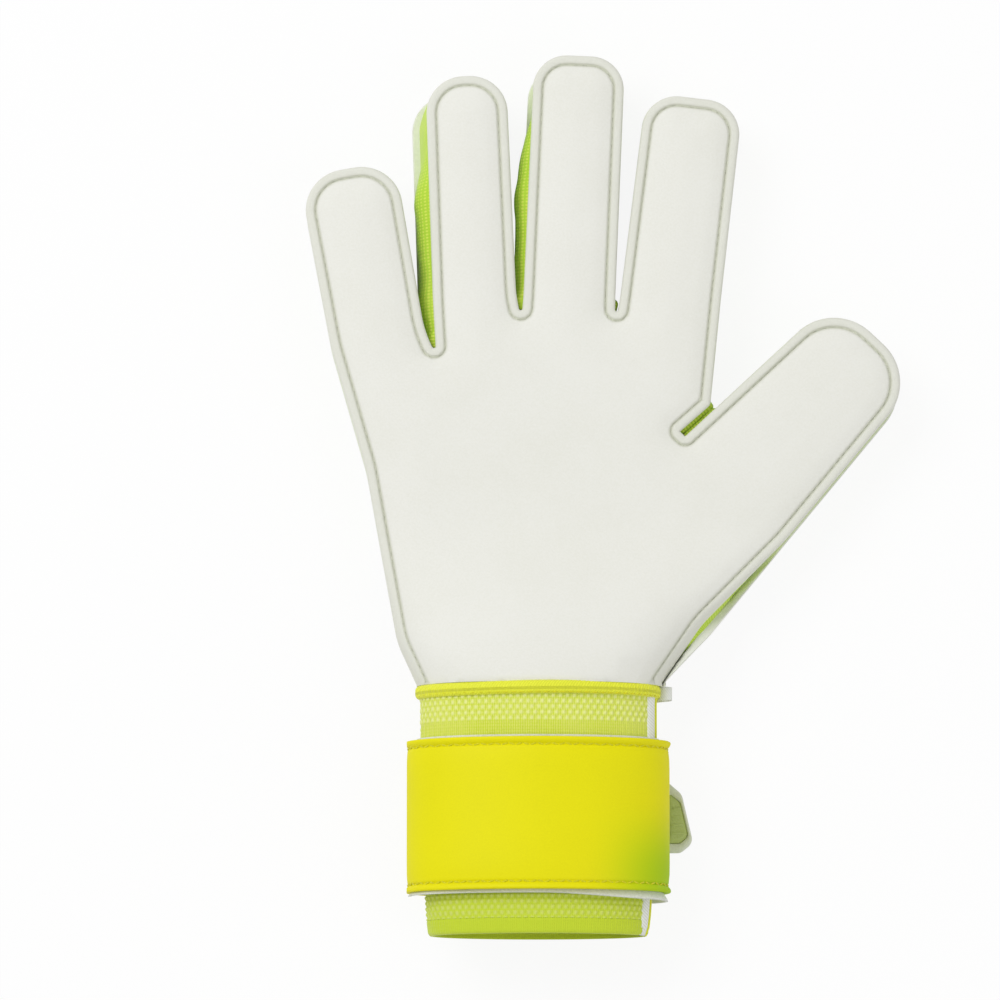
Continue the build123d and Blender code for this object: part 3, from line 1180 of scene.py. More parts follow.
    @staticmethod
    def _bodies(centres: Array, side: Side) -> Array:
        """Name of the body that each face belongs to.

        Args:
            centres: middle of each face.
            side: palm or back.

        Returns:
            Names, one per face.
        """
        names = np.full(len(centres), "hand", dtype=object)
        for name, cut in FINGERS.items():
            across, along = cut.local(centres)
            half = max(cut.root, cut.tip) * PALM_W + 0.8
            extra = (cut.back_left, cut.back_right) if side is Side.BACK else (0.0, 0.0)
            lengthwise = (along > cut.split) & (along < cut.length + 12)
            names[lengthwise & (across > -half - extra[0]) & (across < half + extra[1])] = name
        return names


@dataclass
class Gussets:
    """Stretch mesh walls between the palm's seam and the back's seam.

    Args:
        pattern: outlines and surfaces of the hand.
        swell: how far the mesh stands out past its seams.
        thick: thickness of the mesh.
        rise: where the mesh is fullest; under 1 is nearer the palm.
        ripple: height of the fine waves along the mesh.
        rows: points across the mesh.
        tall: height of a full finger's wall.
        puff: swell at each outline point, worked out by build.
        slack: share of the swell at each outline point, uneven as hand-sewn mesh is.
        fullest: rise at each outline point, lower at the bottoms of the gaps.
    """

    HAND_NODES: ClassVar[tuple[str, ...]] = (
        "gusset_little_side",
        "web_little_ring",
        "web_ring_middle",
        "web_middle_index",
        "web_index_thumb",
        "gusset_thumb_side",
    )

    pattern: Pattern
    swell: float = 1.35
    thick: float = 0.8
    rise: float = 0.75
    ripple: float = 0.1
    rows: int = 11
    tall: float = 16.0
    puff: Array = field(init=False)
    slack: Array = field(init=False)
    fullest: Array = field(init=False)

    def build(self) -> None:
        """Make every wall, from the wrist's little-finger side round to its thumb side."""
        self.puff = self._puff()
        hand_nodes = iter(self.HAND_NODES)
        for body, first, last in self.pattern.palm.ranges():
            node = next(hand_nodes) if body == "hand" else f"{body}_gusset"
            self._wall(node, body, first, last)

    def _puff(self) -> Array:
        """How far the mesh swells past its seams at each outline point.

        Returns:
            Swell in mm, one per outline point.
        """
        palm = self.pattern.palm
        index = np.arange(len(palm.points))
        puff = np.full(len(index), self.swell)
        self.slack = 1.0 + 0.3 * np.sin(index / 4.7) + 0.15 * np.sin(index / 2.3 + 1.0)
        self.fullest = np.full(len(index), self.rise)
        for name, extra in (("ring", 3.4), ("middle", 4.3)):
            left, right = palm.splits[name]
            tip = (left + right) // 2
            puff += extra * smooth((index - left + 24) / 20) * smooth((tip - 16 - index) / 22)
        floors = [(*hand_point(across, along), 7.0, 1.9) for across, along, _ in CROTCHES]
        floors.append((*hand_point(*THUMB_CROTCH), 17.0, 2.3))
        for x, y, reach, extra in floors:
            near = np.hypot(palm.points[:, 0] - x, palm.points[:, 1] - y)
            close = smooth((reach - near) / 4.0)
            puff = np.maximum(puff, self.swell + extra * close)
            self.fullest = np.minimum(self.fullest, self.rise - 0.37 * close)
        return puff

    def _wall(self, node: str, body: str, first: int, last: int) -> None:
        """One wall between the seams, as a closed sheet.

        Args:
            node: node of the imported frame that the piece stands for.
            body: body that carries it.
            first: index of the first outline point.
            last: index of the last outline point.
        """
        palm, back = self.pattern.palm, self.pattern.back
        pick = slice(first, last + 1)
        upper = palm.points[pick] - palm.outward[pick] * (SEAM_PALM - 0.1)
        lower = back.points[pick] - back.outward[pick] * (SEAM_BACK - 0.1)
        top_z = self.pattern.palm_base(upper) - FOAM_T + 0.5
        low_z = self.pattern.back_base(lower) + BACK_T - 0.5
        low_z = np.minimum(low_z, top_z - 1.2)
        run = path_run(palm.points[pick]) + first * palm.STEP
        height = top_z - low_z
        steps = np.linspace(0.0, 1.0, self.rows)
        out = palm.outward[pick]
        outer = np.empty((len(upper), len(steps), 3))
        for j, t in enumerate(steps):
            bulge = (self.puff + self.swell * (self.slack - 1.0))[pick]
            bulge = bulge * np.clip(height / self.tall, 0.0, 1.2)
            bulge = bulge * np.sin(pi * t ** self.fullest[pick])
            bulge += self.ripple * np.sin(run / 1.9 + 9.0 * t) * sin(pi * t)
            outer[:, j, :2] = upper * (1 - t) + lower * t + out * bulge[:, None]
            outer[:, j, 2] = top_z * (1 - t) + low_z * t
        inner = outer.copy()
        inner[:, :, :2] -= out[:, None, :] * self.thick
        points, faces = closed_sheet(outer, inner)
        along = np.repeat(run, len(steps))
        up = np.tile(steps * self.tall, len(upper))
        uv = np.vstack([np.column_stack([along, up])] * 2)
        flat = [face for face in faces if len({index // len(upper) // len(steps) for index in face}) == 1]
        corners = np.array([corner for a, b, c, d in flat for corner in ((a, b, c), (a, c, d))])
        normals = vertex_normals(points, corners)
        piece = make_piece(f"{node}_stretch", points, faces, GUSSET, uv=uv, normals=normals)
        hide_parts(node)
        carry(piece, body)


@dataclass
class SeamStitches:
    """Lock stitches lying in the seam grooves of the palm and the back.

    Args:
        pattern: outlines and surfaces of the hand.
        pitch: distance from stitch to stitch.
        length: length of one stitch.
        proud: height of a stitch's middle over the groove's floor.
    """

    pattern: Pattern
    pitch: float = 3.0
    length: float = 2.15
    proud: float = 0.12

    def build(self) -> None:
        """Make the stitches of each body, one piece for the palm and one for the back."""
        for side, outline in ((Side.PALM, self.pattern.palm), (Side.BACK, self.pattern.back)):
            groups: dict[str, list] = {}
            for body, first, last in outline.ranges():
                groups.setdefault(body, []).extend(self._run(outline, side, first, last))
            for body, stitches in groups.items():
                points, faces = join_parts(stitches)
                piece = make_piece(f"{body}_{side.value}_stitches", points, faces, SEAM_THREAD)
                carry(piece, body)

    def _run(self, outline: Outline, side: Side, first: int, last: int) -> list:
        """Stitches along one stretch of an outline.

        Args:
            outline: outline of the panel.
            side: palm or back.
            first: index of the first outline point.
            last: index of the last outline point.

        Returns:
            Points and faces of each stitch.
        """
        inset = SEAM_PALM if side is Side.PALM else SEAM_BACK
        pick = slice(first, last + 1)
        path = outline.points[pick] - outline.outward[pick] * inset
        run = path_run(path)
        made = []
        for start in np.arange(0.5, run[-1] - self.length, self.pitch):
            where = np.linspace(start, start + self.length, 4)
            line = np.column_stack([np.interp(where, run, path[:, i]) for i in (0, 1)])
            if side is Side.PALM:
                z = self.pattern.palm_base(line) + self.pattern.palm_profile(np.full(4, inset)) + self.proud
            else:
                z = self.pattern.back_base(line) + self.pattern.back_profile(np.full(4, inset)) - self.proud
            made.append(thread(np.column_stack([line, z]), THREAD_R))
        return made


def stack_faces(total: int, count: int) -> list:
    """Faces of a tube through rings of points, capped at both ends.

    Args:
        total: number of rings.
        count: points in each ring.

    Returns:
        Index tuples.
    """
    faces = []
    for i in range(total - 1):
        for k in range(count):
            n = (k + 1) % count
            faces.append((i * count + k, i * count + n, (i + 1) * count + n, (i + 1) * count + k))
    faces.append(tuple(range(count))[::-1])
    faces.append(tuple((total - 1) * count + k for k in range(count)))
    return faces


def thread(path: Array, radius: float, sides: int = 6) -> Mesh:
    """A short rounded thread along a path, thin at both ends.

    Args:
        path: points along the path.
        radius: radius of the thread.
        sides: points round the thread.

    Returns:
        Points and faces.
    """
    ahead = np.gradient(path, axis=0)
    ahead /= np.maximum(np.linalg.norm(ahead, axis=1, keepdims=True), TINY)
    upright = abs(ahead[0, 2]) > 0.9
    helper = np.array([0.0, 1.0, 0.0] if upright else [0.0, 0.0, 1.0])
    side = np.cross(ahead, helper)
    side /= np.maximum(np.linalg.norm(side, axis=1, keepdims=True), TINY)
    up = np.cross(side, ahead)
    count = len(path)
    swell = np.sin(np.linspace(0.14, 0.86, count) * pi) ** 0.5
    points = []
    for i in range(count):
        for k in range(sides):
            a = 2 * pi * k / sides
            points.append(path[i] + radius * swell[i] * (cos(a) * side[i] + sin(a) * up[i]))
    return np.array(points), stack_faces(count, sides)


# ---------------------------------------------------------------- bands round the wrist
@dataclass
class Band:
    """A path round the wrist in the XZ plane with its outward normals.

    Args:
        place: (n, 2) positions in x and z.
        normal: (n, 2) outward normals.
    """

    place: Array
    normal: Array

    @classmethod
    def oval(cls, inset: float, start: float, end: float, step: float) -> "Band":
        """Part of the oval that lies an inset inside the closed strap, by its drawing angles.

        Args:
            inset: distance inside the strap's outside.
            start: first drawing angle in degrees.
            end: last drawing angle in degrees.
            step: point spacing.

        Returns:
            The path.
        """
        count = max(3, int(abs(end - start) / step) + 1)
        turn = np.radians(np.linspace(start, end, count))
        half_w, half_d = STRAP_HALF_W - inset, STRAP_HALF_D - inset
        place = np.column_stack([CUFF_X + half_w * np.cos(turn), CUFF_Z + half_d * np.sin(turn)])
        normal = np.column_stack([np.cos(turn) / half_w, np.sin(turn) / half_d])
        normal /= np.linalg.norm(normal, axis=1, keepdims=True)
        return cls(place, normal)

    def then_straight(self, reach: float, step: float) -> "Band":
        """The same path carried on level along +X to a reach from the cuff's middle line.

        Args:
            reach: distance of its end from the middle line.
            step: point spacing.

        Returns:
            The longer path.
        """
        begin = self.place[-1]
        count = int((CUFF_X + reach - begin[0]) / step)
        x = np.linspace(begin[0], CUFF_X + reach, count + 1)[1:]
        place = np.vstack([self.place, np.column_stack([x, np.full(count, begin[1])])])
        normal = np.vstack([self.normal, np.tile([0.0, -1.0], (count, 1))])
        return Band(place, normal)

    def run(self) -> Array:
        """Distance along the path."""
        return path_run(self.place)

    def grid(self, rows: Array, lift: Array) -> Array:
        """Grid of points over rows in y, lifted along the normals.

        Args:
            rows: positions along y.
            lift: height over the band's own surface.

        Returns:
            Points, (path, rows, 3).
        """
        shape = (len(self.place), len(rows))
        lift = np.broadcast_to(lift, shape)
        x = self.place[:, 0:1] + self.normal[:, 0:1] * lift
        z = self.place[:, 1:2] + self.normal[:, 1:2] * lift
        return np.stack([x, np.broadcast_to(rows, shape), z], axis=2)


def edge_rows(top: float, width: float, middle_step: float) -> Array:
    """Rows across a band: close together at both edges, open in the middle.

    Args:
        top: y of the upper edge.
        width: height of the band.
        middle_step: spacing in the middle.

    Returns:
        Positions along y, from the top down.
    """
    near = np.array([0.0, 0.25, 0.6, 1.1, 1.6, 2.0, 2.3, 2.6, 2.9, 3.3, 3.9, 4.8, 6.0])
    inner = np.arange(6.0 + middle_step, width - 6.0 - middle_step / 2, middle_step)
    return top - np.concatenate([near, inner, width - near[::-1]])


def band_piece(
    name: str, band: Band, rows: Array, lift: Array, thick: float, finish: Finish
) -> bpy.types.Object:
    """Closed band of even thickness with an outside relief.

    Args:
        name: name of the piece.
        band: path round the wrist.
        rows: positions along y.
        lift: relief of the outside.
        thick: thickness.
        finish: finish of the piece.

    Returns:
        The new object.
    """
    outer = band.grid(rows, lift)
    inner = band.grid(rows, np.zeros(len(rows)) - thick)
    points, faces = closed_sheet(outer, inner)
    run = np.repeat(band.run(), len(rows))
    uv = np.vstack([np.column_stack([run, np.tile(rows, len(band.place))])] * 2)
    return make_piece(name, points, faces, finish, uv=uv)


def row_stitches(
    band: Band, y: float, lift: float, pitch: float, length: float, zigzag: float = 0.0
) -> list:
    """Stitches along a band at one height, optionally as a zigzag.

    Args:
        band: path round the wrist.
        y: where the row lies.
        lift: height over the band's own surface.
        pitch: distance from one to the next.
        length: length of one stitch.
        zigzag: swing to either side.

    Returns:
        Points and faces of each stitch.
    """
    run = band.run()
    made = []
    for k, start in enumerate(np.arange(1.0, run[-1] - length - 0.5, pitch)):
        where = np.linspace(start, start + length, 4)
        x, z = (np.interp(where, run, band.place[:, i]) for i in (0, 1))
        nx, nz = (np.interp(where, run, band.normal[:, i]) for i in (0, 1))
        swing = zigzag * np.linspace(-1.0, 1.0, 4) * (1 if k % 2 else -1)
        path = np.column_stack([x + nx * lift, np.full(4, y) + swing, z + nz * lift])
        made.append(thread(path, THREAD_R))
    return made


@dataclass
class Cuff:
    """Elastic bandage with its rolled wrist tape, hem, bound slit, tongue, label and corner loop.

    Args:
        knot_u: spacing of the knit's raised knots round the cuff.
        knot_v: spacing of the rows of knots.
        knot_rise: height of a knot.
        rib_pitch: spacing of the ribs round the cuff.
        upper_rows: rows of knots above the strap.
        lower_rows: rows of knots below the strap.
        wall: thickness of the elastic.
        hem: height of the hem.
        mean_half: half breadth and depth that the spacing round the cuff is worked out from.
        roll_half: half breadth and depth of the rolled tape's middle line.
        roll_thick: half thickness and half height of the rolled tape.
        label: half breadth of the label.
    """

    knot_u: float = 2.25
    knot_v: float = 1.8
    knot_rise: float = 0.5
    rib_pitch: float = 1.15
    upper_rows: int = 5
    lower_rows: int = 7
    wall: float = 1.5
    hem: float = 5.0
    mean_half: tuple[float, float] = (37.4, 18.2)
    roll_half: tuple[float, float] = (38.0, 19.0)
    roll_thick: tuple[float, float] = (1.7, 2.2)
    label: float = 9.0

    def build(self) -> None:
        """Make and dress the cuff's pieces."""
        self._elastic()
        self._wrist_roll()
        self._slit_bindings()
        self._tongue()
        self._label()
        self._corner_loop()

    @staticmethod
    def _half_sizes(y: Array) -> tuple[Array, Array]:
        """Half breadth and half depth of the elastic along the forearm.

        Args:
            y: positions along the forearm.

        Returns:
            Half breadths and half depths.
        """
        drop = WRIST_Y - np.asarray(y, float)
        half_w = np.interp(drop, [0, 6, 19, 30, 62, 74, 85], [38.3, 37.9, 37.9, 37.4, 36.6, 35.9, 34.6])
        half_d = np.interp(drop, [0, 19, 62, 85], [18.5, 18.4, 18.0, 17.2])
        return half_w, half_d

    def _surface(self, turn: Array, rows: Array, lift: Array | float) -> Array:
        """Points on the elastic by drawing angle and y.

        Args:
            turn: drawing angles in radians.
            rows: positions along y.
            lift: height over the elastic.

        Returns:
            Points, (turn, rows, 3).
        """
        half_w, half_d = self._half_sizes(rows)
        c, s = np.cos(turn)[:, None], np.sin(turn)[:, None]
        nx, nz = c / half_w, s / half_d
        norm = np.sqrt(nx**2 + nz**2)
        x = CUFF_X + half_w * c + nx / norm * lift
        z = CUFF_Z + half_d * s + nz / norm * lift
        return np.stack([x, np.broadcast_to(rows, x.shape), z], axis=2)

    def _knots(self, run: Array, rows: Array, first: float, count: int) -> Array:
        """Raised knots of the knit in staggered rows, 0 to 1.

        Args:
            run: distances round the cuff.
            rows: positions along y.
            first: y of the first row's upper edge.
            count: number of rows.

        Returns:
            Heights, (run, rows).
        """
        drop = (first - rows) / self.knot_v
        inside = (drop >= 0) & (drop < count)
        row = np.floor(drop)
        across = np.sin(pi * (drop - row)) ** 1.2
        wave = 0.5 + 0.5 * np.cos(2 * pi * (run[:, None] / self.knot_u + 0.5 * (row % 2)[None, :]))
        return np.where(inside[None, :], across[None, :] * wave**1.5, 0.0)

    def _elastic(self) -> None:
        """Knitted tube from the wrist to the hem, and the ribbed hem."""
        turn = np.radians(np.linspace(19.5, 357.5, 480))
        half_w, half_d = self.mean_half
        speed = np.sqrt((half_w * np.sin(turn)) ** 2 + (half_d * np.cos(turn)) ** 2)
        run = np.concatenate([[0.0], np.cumsum((speed[1:] + speed[:-1]) / 2 * np.diff(turn))])
        hem_y = CUFF_END_Y + self.hem
        fine = self.knot_v / 5
        upper = WRIST_Y - 3.6 - np.arange(0, self.upper_rows * self.knot_v + 0.01, fine)
        ribs = np.arange(upper[-1] - 0.8, STRAP_TOP_Y + 0.5, -0.8)
        hidden = np.linspace(STRAP_TOP_Y, STRAP_TOP_Y - STRAP_W + 3, 12)
        lower = np.arange(hidden[-1] - fine, hem_y, -fine)
        rows = np.concatenate([upper, ribs, hidden, lower, [hem_y]])
        knots = self._knots(run, rows, upper[0], self.upper_rows)
        knots = knots + self._knots(run, rows, lower[0], self.lower_rows)
        rib = 0.5 + 0.5 * np.cos(2 * pi * run / self.rib_pitch)[:, None]
        ribbed = (rows < upper[-1]) & (rows > hidden[0])
        bands = 0.12 * np.cos(2 * pi * (upper[0] - rows) / self.knot_v)[None, :]
        lift = self.knot_rise * knots + np.where(ribbed[None, :], 0.16 * rib, 0.0) + bands
        self._tube("cuff_elastic_knitted", "cuff_elastic", turn, run, rows, lift, knots, KNIT)
        middle = np.arange(hem_y - 0.5, CUFF_END_Y + 0.6, -0.5)
        rows = np.concatenate([[hem_y, hem_y - 0.2], middle, [CUFF_END_Y + 0.25, CUFF_END_Y]])
        places = [CUFF_END_Y, CUFF_END_Y + 0.6, hem_y - 0.6, hem_y]
        lift = np.interp(rows, places, [-0.3, 0.3, 0.3, 0.0])[None, :] + 0.12 * rib
        self._tube("cuff_hem_ribbed", "cuff_hem", turn, run, rows, lift, np.zeros(lift.shape), HEM)

    def _tube(
        self,
        name: str,
        node: str,
        turn: Array,
        run: Array,
        rows: Array,
        lift: Array,
        knots: Array,
        finish: Finish,
    ) -> None:
        """One length of the elastic tube as a closed sheet.

        Args:
            name: name of the piece.
            node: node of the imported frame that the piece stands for.
            turn: drawing angles in radians.
            run: distances round the cuff.
            rows: positions along y.
            lift: height over the elastic.
            knots: heights of the knots, 0 to 1.
            finish: finish of the piece.
        """
        outer = self._surface(turn, rows, lift)
        inner = self._surface(turn, rows, -self.wall)
        points, faces = closed_sheet(outer, inner)
        uv = np.column_stack([np.repeat(run, len(rows)), np.tile(rows, len(turn))])
        # the knots' heights, stored as the relief attribute, set the painted highlight on the knots
        relief = np.concatenate([np.clip(knots, 0, 1).ravel() * 0.85, np.zeros(knots.size)])
        piece = make_piece(name, points, faces, finish, uv=np.vstack([uv, uv]), relief=relief)
        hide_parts(node)
        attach(piece, "hand")

    def _wrist_roll(self) -> None:
        """Rolled tape over the wrist seam, with its stitches."""
        count, around = 420, 18
        turn = np.linspace(0.0, 2 * pi, count, endpoint=False)
        half_w, half_d = self.roll_half
        speed = np.sqrt((half_w * np.sin(turn)) ** 2 + (half_d * np.cos(turn)) ** 2)
        run = np.concatenate([[0.0], np.cumsum(speed[:-1] * 2 * pi / count)])
        section = np.linspace(0.0, 2 * pi, around, endpoint=False)
        fold = 0.10 * np.sin(2 * pi * run / 1.4)[:, None]
        out = np.sign(np.cos(section)) * np.abs(np.cos(section)) ** 0.8 * self.roll_thick[0]
        side = np.sign(np.sin(section)) * np.abs(np.sin(section)) ** 0.8 * self.roll_thick[1]
        lift = out[None, :] * (1.0 + fold)
        nx, nz = np.cos(turn) / half_w, np.sin(turn) / half_d
        norm = np.sqrt(nx**2 + nz**2)
        x = CUFF_X + half_w * np.cos(turn)[:, None] + (nx / norm)[:, None] * lift
        z = CUFF_Z + half_d * np.sin(turn)[:, None] + (nz / norm)[:, None] * lift
        wave = 0.25 * np.sin(run / 17.0)[:, None]
        y = WRIST_Y - 1.9 + side[None, :] + wave
        points = np.stack([x, y, z], axis=2).reshape(-1, 3)
        faces = []
        for i in range(count):
            k = (i + 1) % count
            for j in range(around):
                n = (j + 1) % around
                faces.append((i * around + j, i * around + n, k * around + n, k * around + j))
        uv = np.column_stack([np.repeat(run, around), np.tile(section * 1.8, count)])
        piece = make_piece("wrist_binding_rolled", points, faces, TAPE, uv=uv)
        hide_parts("wrist_binding")
        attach(piece, "hand")
        place = np.column_stack([CUFF_X + half_w * np.cos(turn), CUFF_Z + half_d * np.sin(turn)])
        band = Band(place, np.column_stack([nx / norm, nz / norm]))
        points, faces = join_parts(row_stitches(band, WRIST_Y - 3.5, 1.2, 2.6, 1.7))
        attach(make_piece("wrist_binding_stitches", points, faces, LIME_THREAD), "hand")

    def _slit_bindings(self) -> None:
        """Tapes round both edges of the slit."""
        rows = np.linspace(WRIST_Y - 3.4, CUFF_END_Y, 60)
        section = np.linspace(0.0, 2 * pi, 16, endpoint=False)
        for node, centre, half, finish in (
            ("slit_binding_front", 15.0, 7.2, WHITE_TAPE),
            ("slit_binding_back", -1.5, 3.4, TAPE),
        ):
            end = smooth((rows - CUFF_END_Y) / 3.0) * 0.6 + 0.4
            points = []
            for y, share in zip(rows, end):
                turn = np.radians(centre + half * np.sign(np.cos(section)) * np.abs(np.cos(section)) ** 0.7)
                lift = -0.5 + 1.15 * share * np.sign(np.sin(section)) * np.abs(np.sin(section)) ** 0.7
                ring = [self._surface(np.array([t]), np.array([y]), v)[0, 0] for t, v in zip(turn, lift)]
                points.append(ring)
            points = np.array(points)
            count, around = points.shape[:2]
            faces = [tuple(range(around)), tuple((count - 1) * around + k for k in range(around))[::-1]]
            for i in range(count - 1):
                for j in range(around):
                    n = (j + 1) % around
                    faces.append((i * around + j, (i + 1) * around + j, (i + 1) * around + n, i * around + n))
            uv = np.column_stack([np.tile(section * 1.2, count), np.repeat(rows, around)])
            piece = make_piece(f"{node}_tape", points.reshape(-1, 3), faces, finish, uv=uv)
            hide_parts(node)
            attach(piece, "hand")

    def _tongue(self) -> None:
        """Stretch insert behind the slit."""
        turn = np.radians(np.linspace(-12.0, 34.0, 40))
        rows = np.linspace(WRIST_Y - 4.0, CUFF_END_Y + 4.0, 60)
        wave = 0.25 * np.sin(rows / 2.3)[None, :] * np.sin((turn + 0.2) * 6.0)[:, None]
        outer, inner = (self._surface(turn, rows, lift + wave) for lift in (-2.0, -2.8))
        points, faces = closed_sheet(outer, inner)
        uv = np.column_stack([np.repeat(turn * 25.0, len(rows)), np.tile(rows, len(turn))])
        piece = make_piece("slit_tongue_stretch", points, faces, TONGUE, uv=np.vstack([uv, uv]))
        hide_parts("slit_tongue")
        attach(piece, "hand")

    def _label(self) -> None:
        """Blank label inside the cuff."""
        x = np.linspace(-self.label, self.label, 19)
        rows = np.linspace(CUFF_END_Y + 23.0, CUFF_END_Y + 9.0, 15)
        base = CUFF_Z - 16.5 * np.sqrt(1 - (x / 36.0) ** 2)
        sag = 0.12 * np.cos(rows / 3.0)[None, :] * np.cos(x / 4.0)[:, None]
        height = base[:, None] + 0.35 + sag
        shape = height.shape
        across = np.broadcast_to(CUFF_X + x[:, None], shape)
        flat = np.stack([across, np.broadcast_to(rows, shape), height], 2)
        outer, inner = flat.copy(), flat.copy()
        outer[:, :, 2] += 0.35
        points, faces = closed_sheet(outer[::-1], inner[::-1])
        piece = make_piece("size_label_woven", points, faces, LABEL)
        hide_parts("size_label")
        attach(piece, "hand")

    @staticmethod
    def _corner_loop() -> None:
        """Tape folded into a loop at the thumb end of the wrist seam."""
        turn = np.linspace(-0.5 * pi, 0.5 * pi, 15)
        fold = np.column_stack([3.0 + 1.5 * np.cos(turn[::-1]), 1.5 * np.sin(turn[::-1])])
        path = np.vstack([[[0.0, 1.5]], fold, [[0.0, -1.5]]])
        ahead = np.gradient(path, axis=0)
        ahead /= np.linalg.norm(ahead, axis=1, keepdims=True)
        out = np.column_stack([-ahead[:, 1], ahead[:, 0]])
        widths = np.linspace(-2.6, 2.6, 9)
        begin = (CUFF_X + 38.6, WRIST_Y - 2.2, CUFF_Z - 3.0)
        outer, inner = np.empty((len(path), 9, 3)), np.empty((len(path), 9, 3))
        for grid, lift in ((outer, 0.45), (inner, -0.45)):
            grid[:, :, 0] = begin[0] + (path[:, 0] + out[:, 0] * lift)[:, None]
            grid[:, :, 2] = begin[2] + (path[:, 1] + out[:, 1] * lift)[:, None]
            grid[:, :, 1] = begin[1] + widths[None, :] * (1.0 - 0.04 * path[:, 0:1])
        points, faces = closed_sheet(outer, inner)
        piece = make_piece("corner_loop_folded", points, faces, WHITE_TAPE)
        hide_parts("corner_loop")
        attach(piece, "hand")


@dataclass
class Strap:
    """Wrist strap, its lining and patches, the opening flap and the pull tab.

    Args:
        start: drawing angle where the sewn part begins.
        end: drawing angle where the sewn part ends.
        flap_start: drawing angle where the flap begins.
        flap_t: thickness of the flap.
        lining_t: thickness of the strap's lining.
        seam: distance of the stitches from the strap's edges.
        stitch_pitch: distance from stitch to stitch.
        stitch_length: length of one stitch.
        zigzag: swing of a stitch to either side.
        hook_pitch: distance between the hook tape's posts.
        hook_base: half breadth of a post's foot.
        hook_head: half breadth of a post's head.
    """

    start: float = -59.7
    end: float = 179.8
    flap_start: float = 180.2
    flap_t: float = 1.8
    lining_t: float = 1.0
    seam: float = 2.4
    stitch_pitch: float = 2.3
    stitch_length: float = 1.75
    zigzag: float = 0.35
    hook_pitch: float = 1.6
    hook_base: float = 0.32
    hook_head: float = 0.22

    def build(self) -> None:
        """Make and dress the strap's pieces."""
        self._face()
        self._lining()
        self._loops()
        self._flap()
        self._hooks()
        self._tab()

    def _relief(self, band: Band, rows: Array) -> Array:
        """Outside relief: edge band, stitched groove and padded middle, level beside the flap's hinge.

        Args:
            band: path round the wrist.
            rows: positions along y.

        Returns:
            Heights, (path, rows).
        """
        flare = smooth((band.place[:, 1] - 5.0) / 8.0)
        drop = STRAP_TOP_Y - rows
        near = np.minimum(drop, STRAP_W - drop)
        edge = 0.35 * np.clip(1 - np.abs(near - 1.0) / 1.4, 0, 1) - 0.5 * (1 - np.clip(near / 0.5, 0, 1)) ** 2
        groove = -0.55 * np.exp(-(((near - self.seam) / 0.4) ** 2))
        pad = 0.35 * smooth((near - self.seam) / 5.0)
        rolled = np.clip(1 - near / 2.2, 0, 1) ** 1.3
        lift = (edge + groove + pad)[None, :] * np.minimum(1.0, 0.25 + flare)[:, None]
        lift = lift + 0.75 * flare[:, None] * rolled[None, :]
        gap = np.hypot(band.place[:, 0] - (CUFF_X - STRAP_HALF_W), band.place[:, 1] - CUFF_Z)
        return np.minimum(lift, HINGE_SLOPE * gap[:, None])

    def _edge_stitches(self, band: Band, lift: float) -> Mesh:
        """Zigzag stitches along both edges of a band.

        Args:
            band: path round the wrist.
            lift: height over the band's own surface.

        Returns:
            Points and faces.
        """
        stitches = []
        for y in (STRAP_TOP_Y - self.seam, STRAP_TOP_Y - STRAP_W + self.seam):
            stitches += row_stitches(band, y, lift, self.stitch_pitch, self.stitch_length, self.zigzag)
        return join_parts(stitches)

    def _face(self) -> None:
        """Coated outside of the sewn part, with its stitches."""
        band = Band.oval(0.0, self.start, self.end, 1.2)
        rows = edge_rows(STRAP_TOP_Y, STRAP_W, 3.0)
        strap = band_piece("strap_face_coated", band, rows, self._relief(band, rows), STRAP_T, STRAP)
        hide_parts("strap_outer")
        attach(strap, "hand")
        points, faces = self._edge_stitches(band, -0.25)
        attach(make_piece("strap_stitches", points, faces, LIME_THREAD), "hand")

    def _lining(self) -> None:
        """Brushed lining that shows above and below the strap."""
        band = Band.oval(STRAP_T + 0.3, self.start, self.end, 1.5)
        bottom = STRAP_TOP_Y - STRAP_W
        top = [STRAP_TOP_Y + 0.9, STRAP_TOP_Y + 0.6]
        middle = np.arange(STRAP_TOP_Y, bottom + 3.0, -1.6)
        rows = np.concatenate([top, middle, np.linspace(bottom + 2.4, bottom, 7)])
        past = smooth((bottom + 2.6 - rows) / 2.6)[None, :]
        raised = smooth((band.place[:, 1:2] - 7.0) / 8.0)
        side = np.abs(band.place[:, 0:1] - CUFF_X) / STRAP_HALF_W
        thumb = smooth((band.place[:, 0:1] - CUFF_X) / 38.0)
        lift = (0.9 + 2.3 * side**2) * raised * past
        outer, inner = band.grid(rows, lift), band.grid(rows, lift - self.lining_t)
        for grid in (outer, inner):
            grid[:, :, 1] -= (1.1 + 1.6 * thumb) * raised * past
        points, faces = closed_sheet(outer, inner)
        run = band.run()
        uv = np.vstack([np.column_stack([np.repeat(run, len(rows)), np.tile(rows, len(run))])] * 2)
        lining = make_piece("strap_lining_brushed", points, faces, BACKING, uv=uv)
        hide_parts("strap_lining")
        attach(lining, "hand")

    @staticmethod
    def _loops() -> None:
        """Loop patch on the outside of the strap's sewn end."""
        band = Band.oval(-1.2, -52.0, -24.5, 1.0)
        rows = np.arange(STRAP_TOP_Y - 7.5, STRAP_TOP_Y - 41.6, -0.8)
        pile = 0.18 * np.sin(rows * 2.6)[None, :] * np.cos(band.run() * 2.1)[:, None]
        outer, inner = band.grid(rows, pile), band.grid(rows, np.full(len(rows), -0.9))
        points, faces = closed_sheet(outer, inner)
        patch = make_piece("loop_patch_brushed", points, faces, LOOPS)
        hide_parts("loop_patch")
        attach(patch, "hand")

